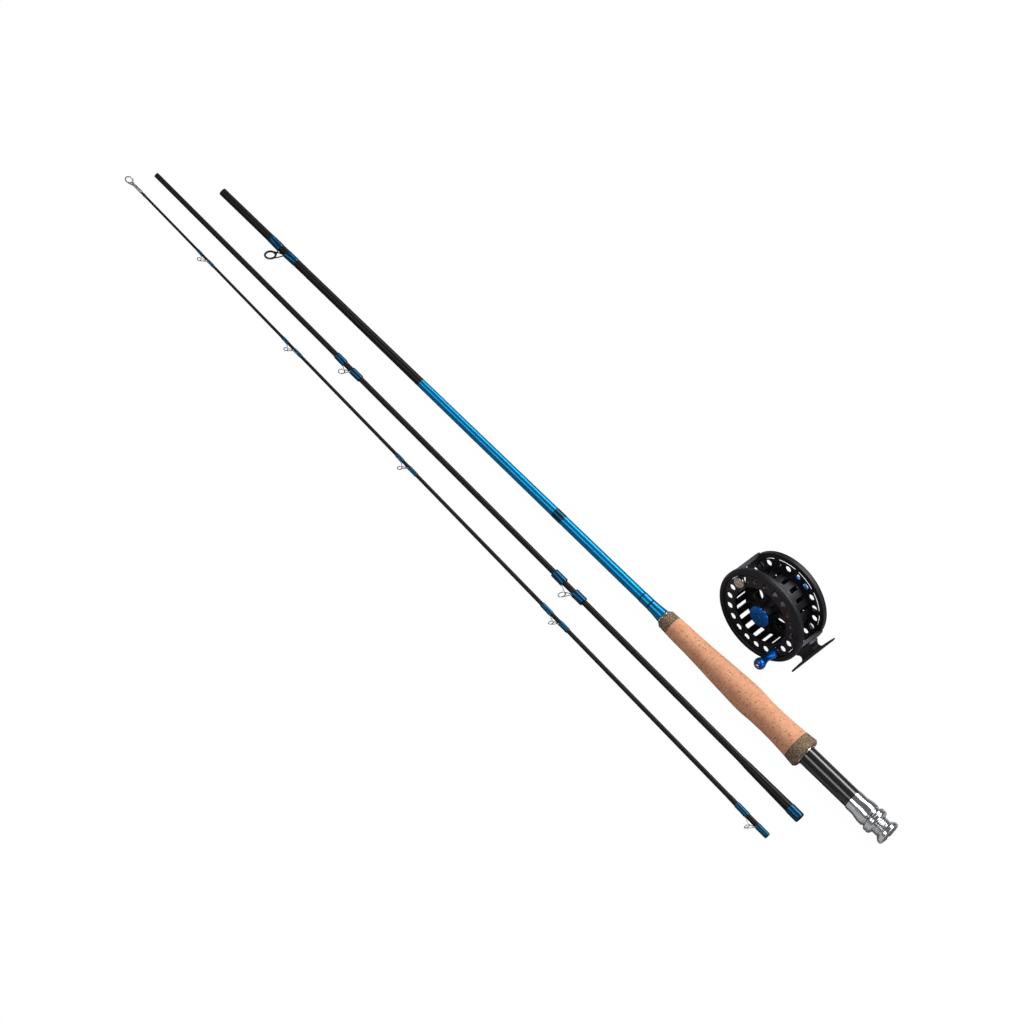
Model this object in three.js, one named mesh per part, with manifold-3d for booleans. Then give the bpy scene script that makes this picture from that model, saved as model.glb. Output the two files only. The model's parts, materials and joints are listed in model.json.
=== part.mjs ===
// Three-piece fly rod laid out as separate sections, with a large-arbor fly reel beside its handle.
// Millimetres, +Z up, the sections lie along X with their thick ends towards +X.
import * as THREE from 'three';
import { mergeVertices } from 'three/addons/utils/BufferGeometryUtils.js';
import Module from 'manifold-3d';

// ---------------------------------------------------------------- driving dimensions
const BUTT = { x: -379, y: 21.9, yaw: 0.44, pitch: -0.915, roll: -4, z: 3.45 };
const MID = { length: 779, x: -423, y: -17.4, yaw: -0.08, pitch: -0.14, roll: -5, z: 3 };
const TIP = { length: 782, x: -431, y: -43.7, yaw: -0.87, pitch: 0.06, roll: -5, z: 3.9 };
const REEL = { x: 208, y: 73, z: 43.9, tilt: 11.8, lean: 4.6 };

const BUTT_BLANK = [[0, 3.4], [120, 3.55], [242.5, 3.9], [506, 4.75], [786, 4.85]];
const MID_BLANK = [[0, 2.2], [779, 4.6]];
const TIP_BLANK = [[7, 1.0], [782, 2.65]];
const FERRULE_DEPTH = 60;
const BUTT_WALL = 1.1;
const MID_SOCKET = 3.55;
const TIP_SOCKET = 2.3;

const FIT = 0.3;              // gap between neighbouring pieces
const WRAP_GAP = 0.05;        // gap under a thread wrap, which has the same facets as its blank
const WRAP = 0.35;            // how far a thread wrap stands off its blank
const BLANK_SIDES = 12;
const ROUND_SIDES = 24;

const GRIP = { start: 532.6, frontRing: 10, rearRing: 11.5, end: 697.4, bore: 5.2 };
const CHECK = { start: 530.8, end: 532.3, front: 6.2, rear: 6.8, bore: 5.1 };
const GRIP_PROFILE = [8.5, 9.3, 9.7, 10.5, 11.5, 12.4, 13, 12.2, 12.2, 13.1, 14.6];
const SEAT = { start: 698.6, barrel: 8.7, thread: 8.4, threadStart: 761.9, threadEnd: 787.4, end: 793.6 };
const COLLAR = { radius: 10.2, bore: 8.9 };
const SEAT_LINER = { outer: 7.6, arbor: 7.3 };
const SEAT_CORE = 5.3;
// the hood's lip, its shallow flared part and its tail; the flare's places are measured from its start
const HOOD = {
  start: 751.6, length: 21.1, bore: 9, lip: 9.3, lipEnd: 7.8,
  flare: 10.6, flareStart: 14.5, flareEnd: 19.4, tail: 9.7,
};
const NUT = { start: 773.1, length: 7.5, radius: 11.8, chamfer: 1.4, bore: 8.7 };
const CAP = { neck: 9, cone: 2.8, radius: 11, face: 9.4, recess: 0.6 };

// wraps on the butt section: start, end
const TRIM_WRAP = [402.8, 413.3];
const HOSEL_WRAP = [506.3, 530.6];
const HOSEL_STAND = 0.5;

// ring guides: front wrap start and end, rear wrap start and end (null for the ferrule wrap),
// ring centre x, height above the section's axis, ring radius, lean towards the thin end in degrees
const MID_GUIDES = [
  [224, 234.5, 242.5, 253.5, 239, 9.9, 2.7, 50], [488, 500.5, 512, 523.5, 507.5, 12.2, 3.3, 32],
];
const TIP_GUIDES = [
  [86.8, 93, 99.2, 107.4, 94.6, 6.3, 1.6, 62], [193.4, 200.3, 208, 216.8, 204, 6.9, 1.7, 55],
  [334.5, 342.5, 349.2, 359.5, 346, 8.4, 2, 38], [512, 524.4, 533.4, 544, 529.6, 7.4, 2.1, 32],
  [745, 758.5, 769.5, null, 765, 9.4, 2.4, 18],
];
const GUIDE_WIRE = 0.42;
const STRIPPER = {
  frontWrap: [59.5, 72.5], rearWrap: [79.5, 91], x: 73, height: 15.2, ring: 4.8, wire: 0.65, lean: 46,
};
const INSERT = { outer: 0.85, inner: 1.2, half: 0.7 };   // set in from the stripping guide's ring
const TIP_TOP = { ring: 3.3, wire: 0.6, lean: 30, sleeveStart: 4.4, sleeveEnd: 16, front: 1.6, rear: 1.7 };
const TIP_TOP_WRAP = [17.6, 21.4];
const FERRULE_WRAP = 12;

const RIM = {
  outer: 44, inner: 38.6, depth: 5, rearOuter: 42, rearInner: 37.6, rearStart: 34.4, rearEnd: 39.2,
};
const BACK = { start: 34.6, end: 36.6, windowIn: 26, windowOut: 36.4, windows: 10, spoke: 3.2, bore: 2.2 };
const BAR = { radius: 40.6, thick: 3, width: 17 };
const FLANGE = { start: 1.2, thick: 1.6, outer: 38.2, rearStart: 31.4, rearOuter: 37.2 };
const ARBOR = { inner: 27, outer: 28.4, slots: 18, slotWidth: 4, slotRows: [[3.3, 15.8], [19.2, 30.6]] };
const HOLES = { count: 20, circle: 33.4, radius: 2.9, phase: 11, sides: 8 };
const WEB = { start: 16.4, end: 18.4, holes: 5, holeRadius: 6.6, circle: 17.4, phase: -21 };
const HUB = { radius: 7.5, bore: 4.9, start: 0.6, end: 22 };
const SLEEVE = { outer: 4.6, inner: 3.3, start: 1.5, end: 21.8 };
const SPINDLE = { radius: 3, start: 1, end: 34.3 };
const SPOOL_CAP = { radius: 10, base: 0.3, height: 2.6 };
const WEIGHT = { angle: 168, circle: 33, head: 5.2, shank: 2.6, hole: 2.9 };
const HANDLE = { angle: -20, circle: 33, pin: 1.5, bore: 1.8, length: 26.5, shank: 2.4, hole: 2.7 };
const HOUSING = { outer: 14.6, inner: 12.8, start: 23, end: 34.3 };
const DRAG = {
  radius: 12.3, sleeveTop: 6.4, hubFront: 22.6, plateFront: 26.6, plateEnd: 30.7, washerEnd: 34.2,
};
const KNOB = { radius: 16.4, lobes: 12, start: 39.5, end: 47 };
const CLICK = { teeth: 36, tip: 9.9, root: 8.9, start: 18.7, end: 20.3, pivot: 13.7, post: 0.6, phase: 32 };
const FOOT = { radius: 51.4, thick: 2.2, length: 69, width: 13, end: 5, stemLength: 24, stemWidth: 13 };

const COLOURS = {
  carbon: [0x17181a, 0.4, 0.2], blue: [0x0f62b0, 0.3, 0.7], wrap: [0x0b4f73, 0.25, 0.3],
  chrome: [0xc9ccd0, 0.15, 1], steel: [0x8f9296, 0.3, 1], black: [0x1b1c20, 0.4, 0.6],
  cork: [0xd9a077, 0.85, 0], composite: [0x6a5636, 0.8, 0], weave: [0x25292a, 0.25, 0.3],
  anodised: [0x1550b8, 0.3, 0.8], foam: [0xe2d8b8, 0.9, 0], ceramic: [0x2b2d31, 0.2, 0],
  felt: [0xa98a5b, 0.9, 0], silver: [0xb9b4aa, 0.3, 0.9],
};

// ---------------------------------------------------------------- helpers
const wasm = await Module();
wasm.setup();
const rad = THREE.MathUtils.degToRad;
const root = new THREE.Group();

function material(name) {
  const [color, roughness, metalness] = COLOURS[name];
  return new THREE.MeshStandardMaterial({ color, roughness, metalness });
}

function add(parent, name, geometry, look) {
  const mesh = new THREE.Mesh(geometry, material(look));
  mesh.name = name;
  parent.add(mesh);
  return mesh;
}

function solid(geometry) {
  const bare = geometry.clone();
  bare.deleteAttribute('normal');
  bare.deleteAttribute('uv');
  const merged = mergeVertices(bare, 1e-4);
  const vertProperties = new Float32Array(merged.attributes.position.array);
  const triVerts = new Uint32Array(merged.index.array);
  return new wasm.Manifold(new wasm.Mesh({ numProp: 3, vertProperties, triVerts }));
}

function geometryOf(manifold) {
  const mesh = manifold.getMesh();
  const geometry = new THREE.BufferGeometry();
  geometry.setAttribute('position', new THREE.BufferAttribute(new Float32Array(mesh.vertProperties), 3));
  geometry.setIndex(new THREE.BufferAttribute(new Uint32Array(mesh.triVerts), 1));
  return geometry;
}

// a turned piece about X: points are [x, radius]
function turnedX(points, sides = BLANK_SIDES) {
  const geometry = new THREE.LatheGeometry(points.map(([x, r]) => new THREE.Vector2(r, x)), sides);
  return geometry.rotateZ(-Math.PI / 2);
}

// a turned piece about Z: points are [depth behind the front rim, radius], listed so that depth grows outside
function turnedZ(points, sides = ROUND_SIDES) {
  const geometry = new THREE.LatheGeometry(points.map(([d, r]) => new THREE.Vector2(r, d)), sides);
  return geometry.rotateX(-Math.PI / 2);
}

// a closed tube wall between x0 and x1, outer and inner radii at each end
function tubeX(x0, x1, outer0, outer1, inner0, inner1, sides = BLANK_SIDES) {
  return turnedX([[x0, inner0], [x0, outer0], [x1, outer1], [x1, inner1], [x0, inner0]], sides);
}

function tubeZ(d0, d1, outer, inner, sides = ROUND_SIDES) {
  return turnedZ([[d0, inner], [d0, outer], [d1, outer], [d1, inner], [d0, inner]], sides);
}

function discZ(d0, d1, radius, sides = ROUND_SIDES) {
  return turnedZ([[d0, 0], [d0, radius], [d1, radius], [d1, 0]], sides);
}

function bend(points, closed = false) {
  return new THREE.CatmullRomCurve3(points.map((p) => new THREE.Vector3(...p)), closed, 'centripetal');
}

function roundShape(radius, sides) {
  const shape = new THREE.Shape();
  for (let i = 0; i < sides; i += 1) {
    const angle = (2 * Math.PI * i) / sides;
    const point = [radius * Math.cos(angle), radius * Math.sin(angle)];
    if (i === 0) shape.moveTo(...point);
    else shape.lineTo(...point);
  }
  shape.closePath();
  return shape;
}

function wire(points, radius, steps, sides = 6) {
  const options = { steps, extrudePath: bend(points), curveSegments: 1 };
  return new THREE.ExtrudeGeometry(roundShape(radius, sides), options);
}

// value of a [x, radius] table at x
function along(table, x) {
  const next = Math.max(1, table.findIndex(([end]) => end >= x));
  const [x0, r0] = table[next - 1];
  const [x1, r1] = table[next];
  return r0 + ((r1 - r0) * (x - x0)) / (x1 - x0);
}

function wrapOn(parent, name, table, x0, x1, look = 'wrap', stand = WRAP) {
  const r0 = along(table, x0);
  const r1 = along(table, x1);
  return add(parent, name, tubeX(x0, x1, r0 + stand, r1 + stand, r0 + WRAP_GAP, r1 + WRAP_GAP), look);
}

// a leaning wire ring on one front leg and two rear legs, whose feet meet the wraps on the side of -Y
function ringFrame(table, frontEnd, rearStart, x, height, ring, lean, gauge, round = 14) {
  const tilt = rad(lean);
  const band = new THREE.TorusGeometry(ring, gauge, 6, round);
  band.rotateY(Math.PI / 2).rotateZ(-tilt).translate(x, -height, 0);
  const foot = along(table, rearStart) + gauge + 0.15;
  const nearX = x + ring * Math.sin(tilt);
  const nearHeight = height - ring * Math.cos(tilt);
  const front = frontEnd + 0.2;
  const rear = rearStart - 0.2;
  const legs = [-1, 1].map((side) => wire([
    [rear, -foot, side * gauge * 0.7],
    [rear - (rear - x) * 0.3, -foot - (height - foot) * 0.35, side * ring * 0.5],
    [x, -height, side * ring],
  ], gauge * 0.85, 5, 5));
  const brace = wire([
    [front, -foot, 0],
    [front + (nearX - front) * 0.4, -foot - (nearHeight - foot) * 0.5, 0],
    [nearX, -nearHeight, 0],
  ], gauge * 0.85, 4, 5);
  let frame = solid(band);
  [...legs, brace].forEach((leg) => { frame = frame.add(solid(leg)); });
  return geometryOf(frame);
}

function ringGuide(parent, name, table, [, frontEnd, rearStart, , x, height, ring, lean]) {
  return add(parent, name, ringFrame(table, frontEnd, rearStart, x, height, ring, lean, GUIDE_WIRE), 'steel');
}

function section(place) {
  const heading = new THREE.Group();
  heading.position.set(place.x, place.y, place.z);
  heading.rotation.set(0, 0, rad(place.yaw));
  const lean = new THREE.Group();
  lean.rotation.set(0, rad(place.pitch), 0);
  const roll = new THREE.Group();
  roll.rotation.set(rad(place.roll), 0, 0);
  heading.add(lean);
  lean.add(roll);
  root.add(heading);
  return roll;
}

// ---------------------------------------------------------------- butt section
function buttBlank(parent) {
  const inner = BUTT_BLANK.map(([x, r]) => [x, r - BUTT_WALL]).reverse();
  add(parent, 'butt_blank', turnedX([inner.at(-1), ...BUTT_BLANK, ...inner]), 'carbon');
}

function strippingGuide(parent) {
  const { x, height, ring, wire: gauge, lean, frontWrap, rearWrap } = STRIPPER;
  const frame = ringFrame(BUTT_BLANK, frontWrap[1], rearWrap[0], x, height, ring, lean, gauge, 20);
  add(parent, 'stripping_guide_frame', frame, 'black');
  const outer = ring - INSERT.outer;
  const inner = ring - INSERT.inner;
  const insert = tubeX(-INSERT.half, INSERT.half, outer, outer, inner, inner, 18);
  insert.rotateZ(-rad(lean)).translate(x, -height, 0);
  add(parent, 'stripping_guide_ring', insert, 'ceramic');
}

function gripProfile(x) {
  const t = ((x - GRIP.start) / (GRIP.end - GRIP.start)) * (GRIP_PROFILE.length - 1);
  const cell = Math.min(GRIP_PROFILE.length - 2, Math.floor(t));
  return THREE.MathUtils.lerp(GRIP_PROFILE[cell], GRIP_PROFILE[cell + 1], t - cell);
}

function gripPiece(parent, name, x0, x1, look, frontEdge = 0, rearEdge = 0) {
  const steps = Math.max(1, Math.round((x1 - x0) / 15));
  const points = [[x0, GRIP.bore]];
  for (let i = 0; i <= steps; i += 1) {
    const x = THREE.MathUtils.lerp(x0 + frontEdge, x1 - rearEdge, i / steps);
    if (i === 0 && frontEdge) points.push([x0, gripProfile(x0) - frontEdge]);
    points.push([x, gripProfile(x)]);
    if (i === steps && rearEdge) points.push([x1, gripProfile(x1) - rearEdge]);
  }
  points.push([x1, GRIP.bore], [x0, GRIP.bore]);
  add(parent, name, turnedX(points, ROUND_SIDES), look);
}

function gripAndCheck(parent) {
  const { start, end, front, rear, bore } = CHECK;
  add(parent, 'winding_check', tubeX(start, end, front, rear, bore, bore), 'chrome');
  const corkStart = GRIP.start + GRIP.frontRing;
  const corkEnd = GRIP.end - GRIP.rearRing;
  gripPiece(parent, 'grip_front_ring', GRIP.start, corkStart - 0.05, 'composite', 1.2);
  gripPiece(parent, 'cork_grip', corkStart, corkEnd, 'cork');
  gripPiece(parent, 'grip_rear_ring', corkEnd + 0.05, GRIP.end, 'composite', 0, 1.4);
  const { radius, bore: hole } = COLLAR;
  const collar = tubeX(GRIP.end + 0.1, SEAT.start - 0.1, radius, radius, hole, hole, ROUND_SIDES);
  add(parent, 'seat_collar', collar, 'chrome');
}

function reelSeat(parent) {
  const { start, barrel, thread, threadStart, threadEnd } = SEAT;
  const barrelEnd = threadStart - 0.1;
  const { outer, arbor } = SEAT_LINER;
  add(parent, 'seat_arbor', tubeX(start, barrelEnd, arbor, arbor, GRIP.bore, GRIP.bore), 'foam');
  add(parent, 'seat_barrel', tubeX(start, barrelEnd, barrel, barrel, outer, outer, ROUND_SIDES), 'weave');
  const threaded = tubeX(threadStart, threadEnd, thread, thread, SEAT_CORE, SEAT_CORE, ROUND_SIDES);
  add(parent, 'seat_thread', threaded, 'chrome');
  const { start: h, length, lip, lipEnd, flare, flareStart, flareEnd, tail, bore } = HOOD;
  add(parent, 'sliding_hood', turnedX([[h, bore], [h, lip], [h + lipEnd, lip], [h + flareStart, flare],
    [h + flareEnd, flare], [h + flareEnd + 0.4, tail], [h + length, tail], [h + length, bore], [h, bore]],
  ROUND_SIDES), 'chrome');
  const { start: n, length: m, radius, chamfer, bore: hole } = NUT;
  add(parent, 'locking_nut', turnedX([[n, hole], [n, radius - chamfer], [n + chamfer, radius],
    [n + m - chamfer, radius], [n + m, radius - chamfer], [n + m, hole], [n, hole]], ROUND_SIDES), 'chrome');
  const c = threadEnd + 0.2;
  add(parent, 'butt_cap', turnedX([[c, 0], [c, CAP.neck], [c + CAP.cone, CAP.radius],
    [SEAT.end - 0.5, CAP.radius], [SEAT.end, CAP.radius - 0.5], [SEAT.end, CAP.face],
    [SEAT.end - CAP.recess, CAP.face], [SEAT.end - CAP.recess, 0]], ROUND_SIDES), 'chrome');
}

function buttSection() {
  const parent = section(BUTT);
  buttBlank(parent);
  strippingGuide(parent);
  wrapOn(parent, 'stripper_wrap_front', BUTT_BLANK, ...STRIPPER.frontWrap);
  wrapOn(parent, 'stripper_wrap_rear', BUTT_BLANK, ...STRIPPER.rearWrap);
  wrapOn(parent, 'trim_wrap', BUTT_BLANK, ...TRIM_WRAP);
  wrapOn(parent, 'hosel_wrap', BUTT_BLANK, ...HOSEL_WRAP, 'blue', HOSEL_STAND);
  gripAndCheck(parent);
  reelSeat(parent);
}

// ---------------------------------------------------------------- middle section
function midSection() {
  const parent = section(MID);
  const end = MID.length;
  const [, tipRadius] = MID_BLANK[0];
  const [, endRadius] = MID_BLANK[1];
  const socketStart = end - FERRULE_DEPTH;
  add(parent, 'mid_blank', turnedX([[0, tipRadius - 0.8], [0, tipRadius], [end, endRadius], [end, MID_SOCKET],
    [socketStart, MID_SOCKET], [socketStart - 12, 2.7], [0, tipRadius - 0.8]]), 'carbon');
  MID_GUIDES.forEach((guide, i) => {
    ringGuide(parent, `mid_guide_${i + 1}`, MID_BLANK, guide);
    wrapOn(parent, `mid_wrap_${i + 1}_front`, MID_BLANK, guide[0], guide[1]);
    wrapOn(parent, `mid_wrap_${i + 1}_rear`, MID_BLANK, guide[2], guide[3]);
  });
  wrapOn(parent, 'mid_ferrule_wrap', MID_BLANK, end - FERRULE_WRAP - 0.5, end - 0.5);
}

// ---------------------------------------------------------------- tip section
function tipTop(parent) {
  const { ring, wire: gauge, lean, sleeveStart, sleeveEnd, front, rear } = TIP_TOP;
  const band = new THREE.TorusGeometry(ring, gauge, 6, 16);
  band.rotateX(Math.PI / 2).rotateZ(rad(lean));
  const bore = along(TIP_BLANK, TIP_BLANK[0][0]) + 0.1;
  const sleeve = tubeX(sleeveStart, sleeveEnd, front, rear, bore, bore + 0.05, 12);
  const stems = [-1, 1].map((side) => wire([
    [sleeveStart + 1.6, 0, side * 1.35], [sleeveStart - 0.4, 0, side * 2], [2.2, 0, side * (ring - 0.5)],
    [0, 0, side * ring],
  ], gauge - 0.1, 4));
  let top = solid(band).add(solid(sleeve));
  stems.forEach((stem) => { top = top.add(solid(stem)); });
  add(parent, 'tip_top', geometryOf(top), 'steel');
}

function tipSection() {
  const parent = section(TIP);
  const end = TIP.length;
  const [tipStart, tipRadius] = TIP_BLANK[0];
  const [, endRadius] = TIP_BLANK[1];
  const socketStart = end - FERRULE_DEPTH * 0.75;
  add(parent, 'tip_blank', turnedX([[tipStart, 0], [tipStart, tipRadius], [end, endRadius], [end, TIP_SOCKET],
    [socketStart, TIP_SOCKET - 0.15], [socketStart - 4, 0]]), 'carbon');
  tipTop(parent);
  wrapOn(parent, 'tip_top_wrap', TIP_BLANK, ...TIP_TOP_WRAP, 'wrap', 0.4);
  TIP_GUIDES.forEach((guide, i) => {
    ringGuide(parent, `tip_guide_${i + 1}`, TIP_BLANK, guide);
    wrapOn(parent, `tip_wrap_${i + 1}_front`, TIP_BLANK, guide[0], guide[1]);
    const name = guide[3] ? `tip_wrap_${i + 1}_rear` : 'tip_ferrule_wrap';
    wrapOn(parent, name, TIP_BLANK, guide[2], guide[3] ?? end - 0.5);
  });
}

// ---------------------------------------------------------------- reel
// the reel's own frame: Z points out of its front, X towards the foot, depth d lies at z = -d
function reelGroup() {
  const group = new THREE.Group();
  const tilt = rad(REEL.tilt);
  const lean = rad(REEL.lean);
  const front = new THREE.Vector3(0, -Math.cos(lean), -Math.sin(lean));
  const upright = new THREE.Vector3(0, -Math.sin(lean), Math.cos(lean));
  const toFoot = new THREE.Vector3(Math.cos(tilt), 0, 0).addScaledVector(upright, -Math.sin(tilt));
  const basis = new THREE.Matrix4().makeBasis(toFoot, front.clone().cross(toFoot), front);
  group.quaternion.setFromRotationMatrix(basis);
  group.position.set(REEL.x, REEL.y, REEL.z);
  root.add(group);
  return group;
}

function peg(radius, d0, d1, circle, angle, sides = HOLES.sides) {
  const geometry = discZ(d0, d1, radius, sides);
  return geometry.translate(circle * Math.cos(rad(angle)), circle * Math.sin(rad(angle)), 0);
}

function cutRing(body, count, circle, radius, d0, d1, phase, sides = HOLES.sides, kept = []) {
  let left = body;
  for (let i = 0; i < count; i += 1) {
    const angle = phase + (360 * i) / count;
    const taken = kept.some((place) => Math.cos(rad(angle - place)) > Math.cos(rad(180 / count)));
    if (!taken) left = left.subtract(solid(peg(radius, d0, d1, circle, angle, sides)));
  }
  return left;
}

// a wedge-shaped window between two radii, as an extruded outline
function window(innerRadius, outerRadius, angle, spoke, d0, d1) {
  const half = Math.PI / BACK.windows;
  const shape = new THREE.Shape();
  const inset = (r) => half - Math.asin(spoke / 2 / r);
  const steps = 3;
  for (let i = 0; i <= steps; i += 1) {
    const a = THREE.MathUtils.lerp(-inset(outerRadius), inset(outerRadius), i / steps);
    if (i === 0) shape.moveTo(outerRadius * Math.cos(a), outerRadius * Math.sin(a));
    else shape.lineTo(outerRadius * Math.cos(a), outerRadius * Math.sin(a));
  }
  for (let i = 0; i <= steps; i += 1) {
    const a = THREE.MathUtils.lerp(inset(innerRadius), -inset(innerRadius), i / steps);
    shape.lineTo(innerRadius * Math.cos(a), innerRadius * Math.sin(a));
  }
  shape.closePath();
  const geometry = new THREE.ExtrudeGeometry(shape, { depth: d1 - d0, bevelEnabled: false });
  return geometry.translate(0, 0, -d1).rotateZ(rad(angle));
}

function reelFrame(parent) {
  const front = turnedZ([[0.4, RIM.inner], [0, RIM.inner + 0.6], [0, RIM.outer - 1], [1, RIM.outer],
    [RIM.depth, RIM.outer], [RIM.depth, RIM.inner], [0.4, RIM.inner]], 48);
  const rear = turnedZ([[BACK.start, 0], [BACK.start, RIM.rearInner], [RIM.rearStart - 1.4, RIM.rearInner],
    [RIM.rearStart - 1.4, RIM.rearOuter], [RIM.rearEnd - 1.5, RIM.rearOuter],
    [RIM.rearEnd, RIM.rearOuter - 1.5],
    [RIM.rearEnd, RIM.rearInner], [BACK.end, RIM.rearInner - 1], [BACK.end, 0]], 48);
  let frame = solid(front).add(solid(rear));
  [0, 180].forEach((angle) => {
    const bar = new THREE.BoxGeometry(BAR.thick, BAR.width, RIM.rearStart + 1);
    bar.translate(BAR.radius, 0, -(RIM.rearStart + 3) / 2).rotateZ(rad(angle));
    frame = frame.add(solid(bar));
  });
  for (let i = 0; i < BACK.windows; i += 1) {
    const cut = window(BACK.windowIn, BACK.windowOut, (360 * i) / BACK.windows + 18, BACK.spoke, 34, 37.2);
    frame = frame.subtract(solid(cut));
  }
  frame = frame.subtract(solid(discZ(34, 37.2, BACK.bore, 12)));
  add(parent, 'reel_frame', geometryOf(frame), 'black');
}

function footOutline() {
  const shape = new THREE.Shape();
  const half = FOOT.length / 2;
  const wide = FOOT.width / 2;
  shape.moveTo(-half, -FOOT.end / 2);
  shape.quadraticCurveTo(-half * 0.5, -wide, -half * 0.25, -wide);
  shape.lineTo(half * 0.25, -wide);
  shape.quadraticCurveTo(half * 0.5, -wide, half, -FOOT.end / 2);
  shape.quadraticCurveTo(half + 1.5, 0, half, FOOT.end / 2);
  shape.quadraticCurveTo(half * 0.5, wide, half * 0.25, wide);
  shape.lineTo(-half * 0.25, wide);
  shape.quadraticCurveTo(-half * 0.5, wide, -half, FOOT.end / 2);
  shape.quadraticCurveTo(-half - 1.5, 0, -half, -FOOT.end / 2);
  return shape;
}

function reelFoot(parent) {
  const middle = RIM.rearEnd / 2;
  const options = { depth: FOOT.thick, bevelEnabled: false, curveSegments: 6 };
  const plate = new THREE.ExtrudeGeometry(footOutline(), options);
  plate.rotateZ(Math.PI / 2).rotateY(Math.PI / 2).translate(FOOT.radius, 0, -middle);
  const stemTop = BAR.radius + BAR.thick / 2 + FIT;
  const stemHeight = FOOT.radius + 0.5 - stemTop;
  const stem = new THREE.BoxGeometry(stemHeight, FOOT.stemLength, FOOT.stemWidth);
  stem.translate(stemTop + stemHeight / 2, 0, -middle);
  add(parent, 'reel_foot', geometryOf(solid(plate).add(solid(stem))), 'black');
  const head = BAR.radius - BAR.thick / 2 - FIT;
  const screw = turnedX([[head - 1.4, 0], [head - 1.4, 1.8], [head - 0.4, 2.4], [head, 2.4], [head, 0]], 12);
  add(parent, 'foot_screw', screw.translate(0, 0, -middle), 'steel');
}

function spool(parent) {
  const { start, thick, outer, rearStart, rearOuter } = FLANGE;
  const front = tubeZ(start, start + thick, outer, ARBOR.inner, 40);
  const back = tubeZ(rearStart, rearStart + thick, rearOuter, ARBOR.inner, 40);
  const wall = tubeZ(start + thick / 2, rearStart + thick / 2, ARBOR.outer, ARBOR.inner, 36);
  const web = tubeZ(WEB.start, WEB.end, ARBOR.inner + 0.8, HUB.bore + 1, 36);
  const hub = tubeZ(HUB.start, HUB.end, HUB.radius, HUB.bore, 24);
  let body = solid(front).add(solid(back)).add(solid(wall)).add(solid(web)).add(solid(hub));
  const fittings = [WEIGHT.angle, HANDLE.angle];
  const { count, circle, radius, phase, sides } = HOLES;
  body = cutRing(body, count, circle, radius, start - 1, start + thick + 1, phase, sides, fittings);
  [WEIGHT, HANDLE].forEach((fitting) => {
    const seat = peg(fitting.hole, start - 1, start + thick + 1, fitting.circle, fitting.angle, 16);
    body = body.subtract(solid(seat));
  });
  body = cutRing(body, count, circle, radius, rearStart - 1, rearStart + thick + 1, phase);
  body = cutRing(body, WEB.holes, WEB.circle, WEB.holeRadius, WEB.start - 1, WEB.end + 1, WEB.phase, 12);
  ARBOR.slotRows.forEach(([d0, d1]) => {
    for (let i = 0; i < ARBOR.slots; i += 1) {
      const slot = new THREE.BoxGeometry(6, ARBOR.slotWidth, d1 - d0);
      slot.translate(ARBOR.outer - 1, 0, -(d0 + d1) / 2).rotateZ((2 * Math.PI * (i + 0.5)) / ARBOR.slots);
      body = body.subtract(solid(slot));
    }
  });
  add(parent, 'spool', geometryOf(body), 'black');
}

function spoolFittings(parent) {
  const { radius, base, height } = SPOOL_CAP;
  add(parent, 'spool_cap', turnedZ([[-height, 0], [-height, radius * 0.5], [-height * 0.8, radius * 0.8],
    [-base - 0.6, radius], [base, radius], [base, 0]], 24), 'anodised');
  add(parent, 'clutch_sleeve', tubeZ(SLEEVE.start, SLEEVE.end, SLEEVE.outer, SLEEVE.inner, 24), 'steel');
  const { angle, circle, head, shank } = WEIGHT;
  const button = turnedZ([[-1.4, 0], [-1.4, head - 0.6], [-0.8, head], [0.9, head], [0.9, shank],
    [4.4, shank], [4.4, 0]], 24);
  const at = [circle * Math.cos(rad(angle)), circle * Math.sin(rad(angle)), 0];
  add(parent, 'counterweight', button, 'silver').position.set(...at);
  const gear = new THREE.Shape();
  for (let i = 0; i < CLICK.teeth * 2; i += 1) {
    const r = i % 2 ? CLICK.root : CLICK.tip;
    const a = (Math.PI * i) / CLICK.teeth;
    if (i === 0) gear.moveTo(r * Math.cos(a), r * Math.sin(a));
    else gear.lineTo(r * Math.cos(a), r * Math.sin(a));
  }
  gear.closePath();
  gear.holes.push(new THREE.Path(roundShape(HUB.radius + FIT, 24).getPoints()));
  const wheel = new THREE.ExtrudeGeometry(gear, { depth: CLICK.end - CLICK.start, bevelEnabled: false });
  add(parent, 'click_gear', wheel.translate(0, 0, -CLICK.end), 'steel');
}

function handle(parent) {
  const group = new THREE.Group();
  const { angle, circle, pin, bore, length, shank } = HANDLE;
  group.position.set(circle * Math.cos(rad(angle)), circle * Math.sin(rad(angle)), 0);
  parent.add(group);
  add(group, 'handle_pin', turnedZ([[-length + 0.4, 0], [-length + 0.4, 2.4], [-length + 1.4, 2.4],
    [-length + 1.4, pin], [0, pin], [0, shank + 0.6], [0.9, shank + 0.6], [0.9, shank], [4, shank],
    [4, 0]], 16), 'steel');
  add(group, 'handle_knob', turnedZ([
    [-length + 1.6, bore], [-length + 1.6, 3.2], [-length + 2.6, 4.6], [-length + 5, 5.2],
    [-length + 7.4, 4.7],
    [-length + 10, 3.4], [-length + 13, 3], [-8.6, 3.2], [-6, 4.1], [-3.6, 4.3], [-1.4, 3.7], [-0.4, 2.9],
    [-0.4, bore], [-length + 1.6, bore]], 20), 'anodised');
}

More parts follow.
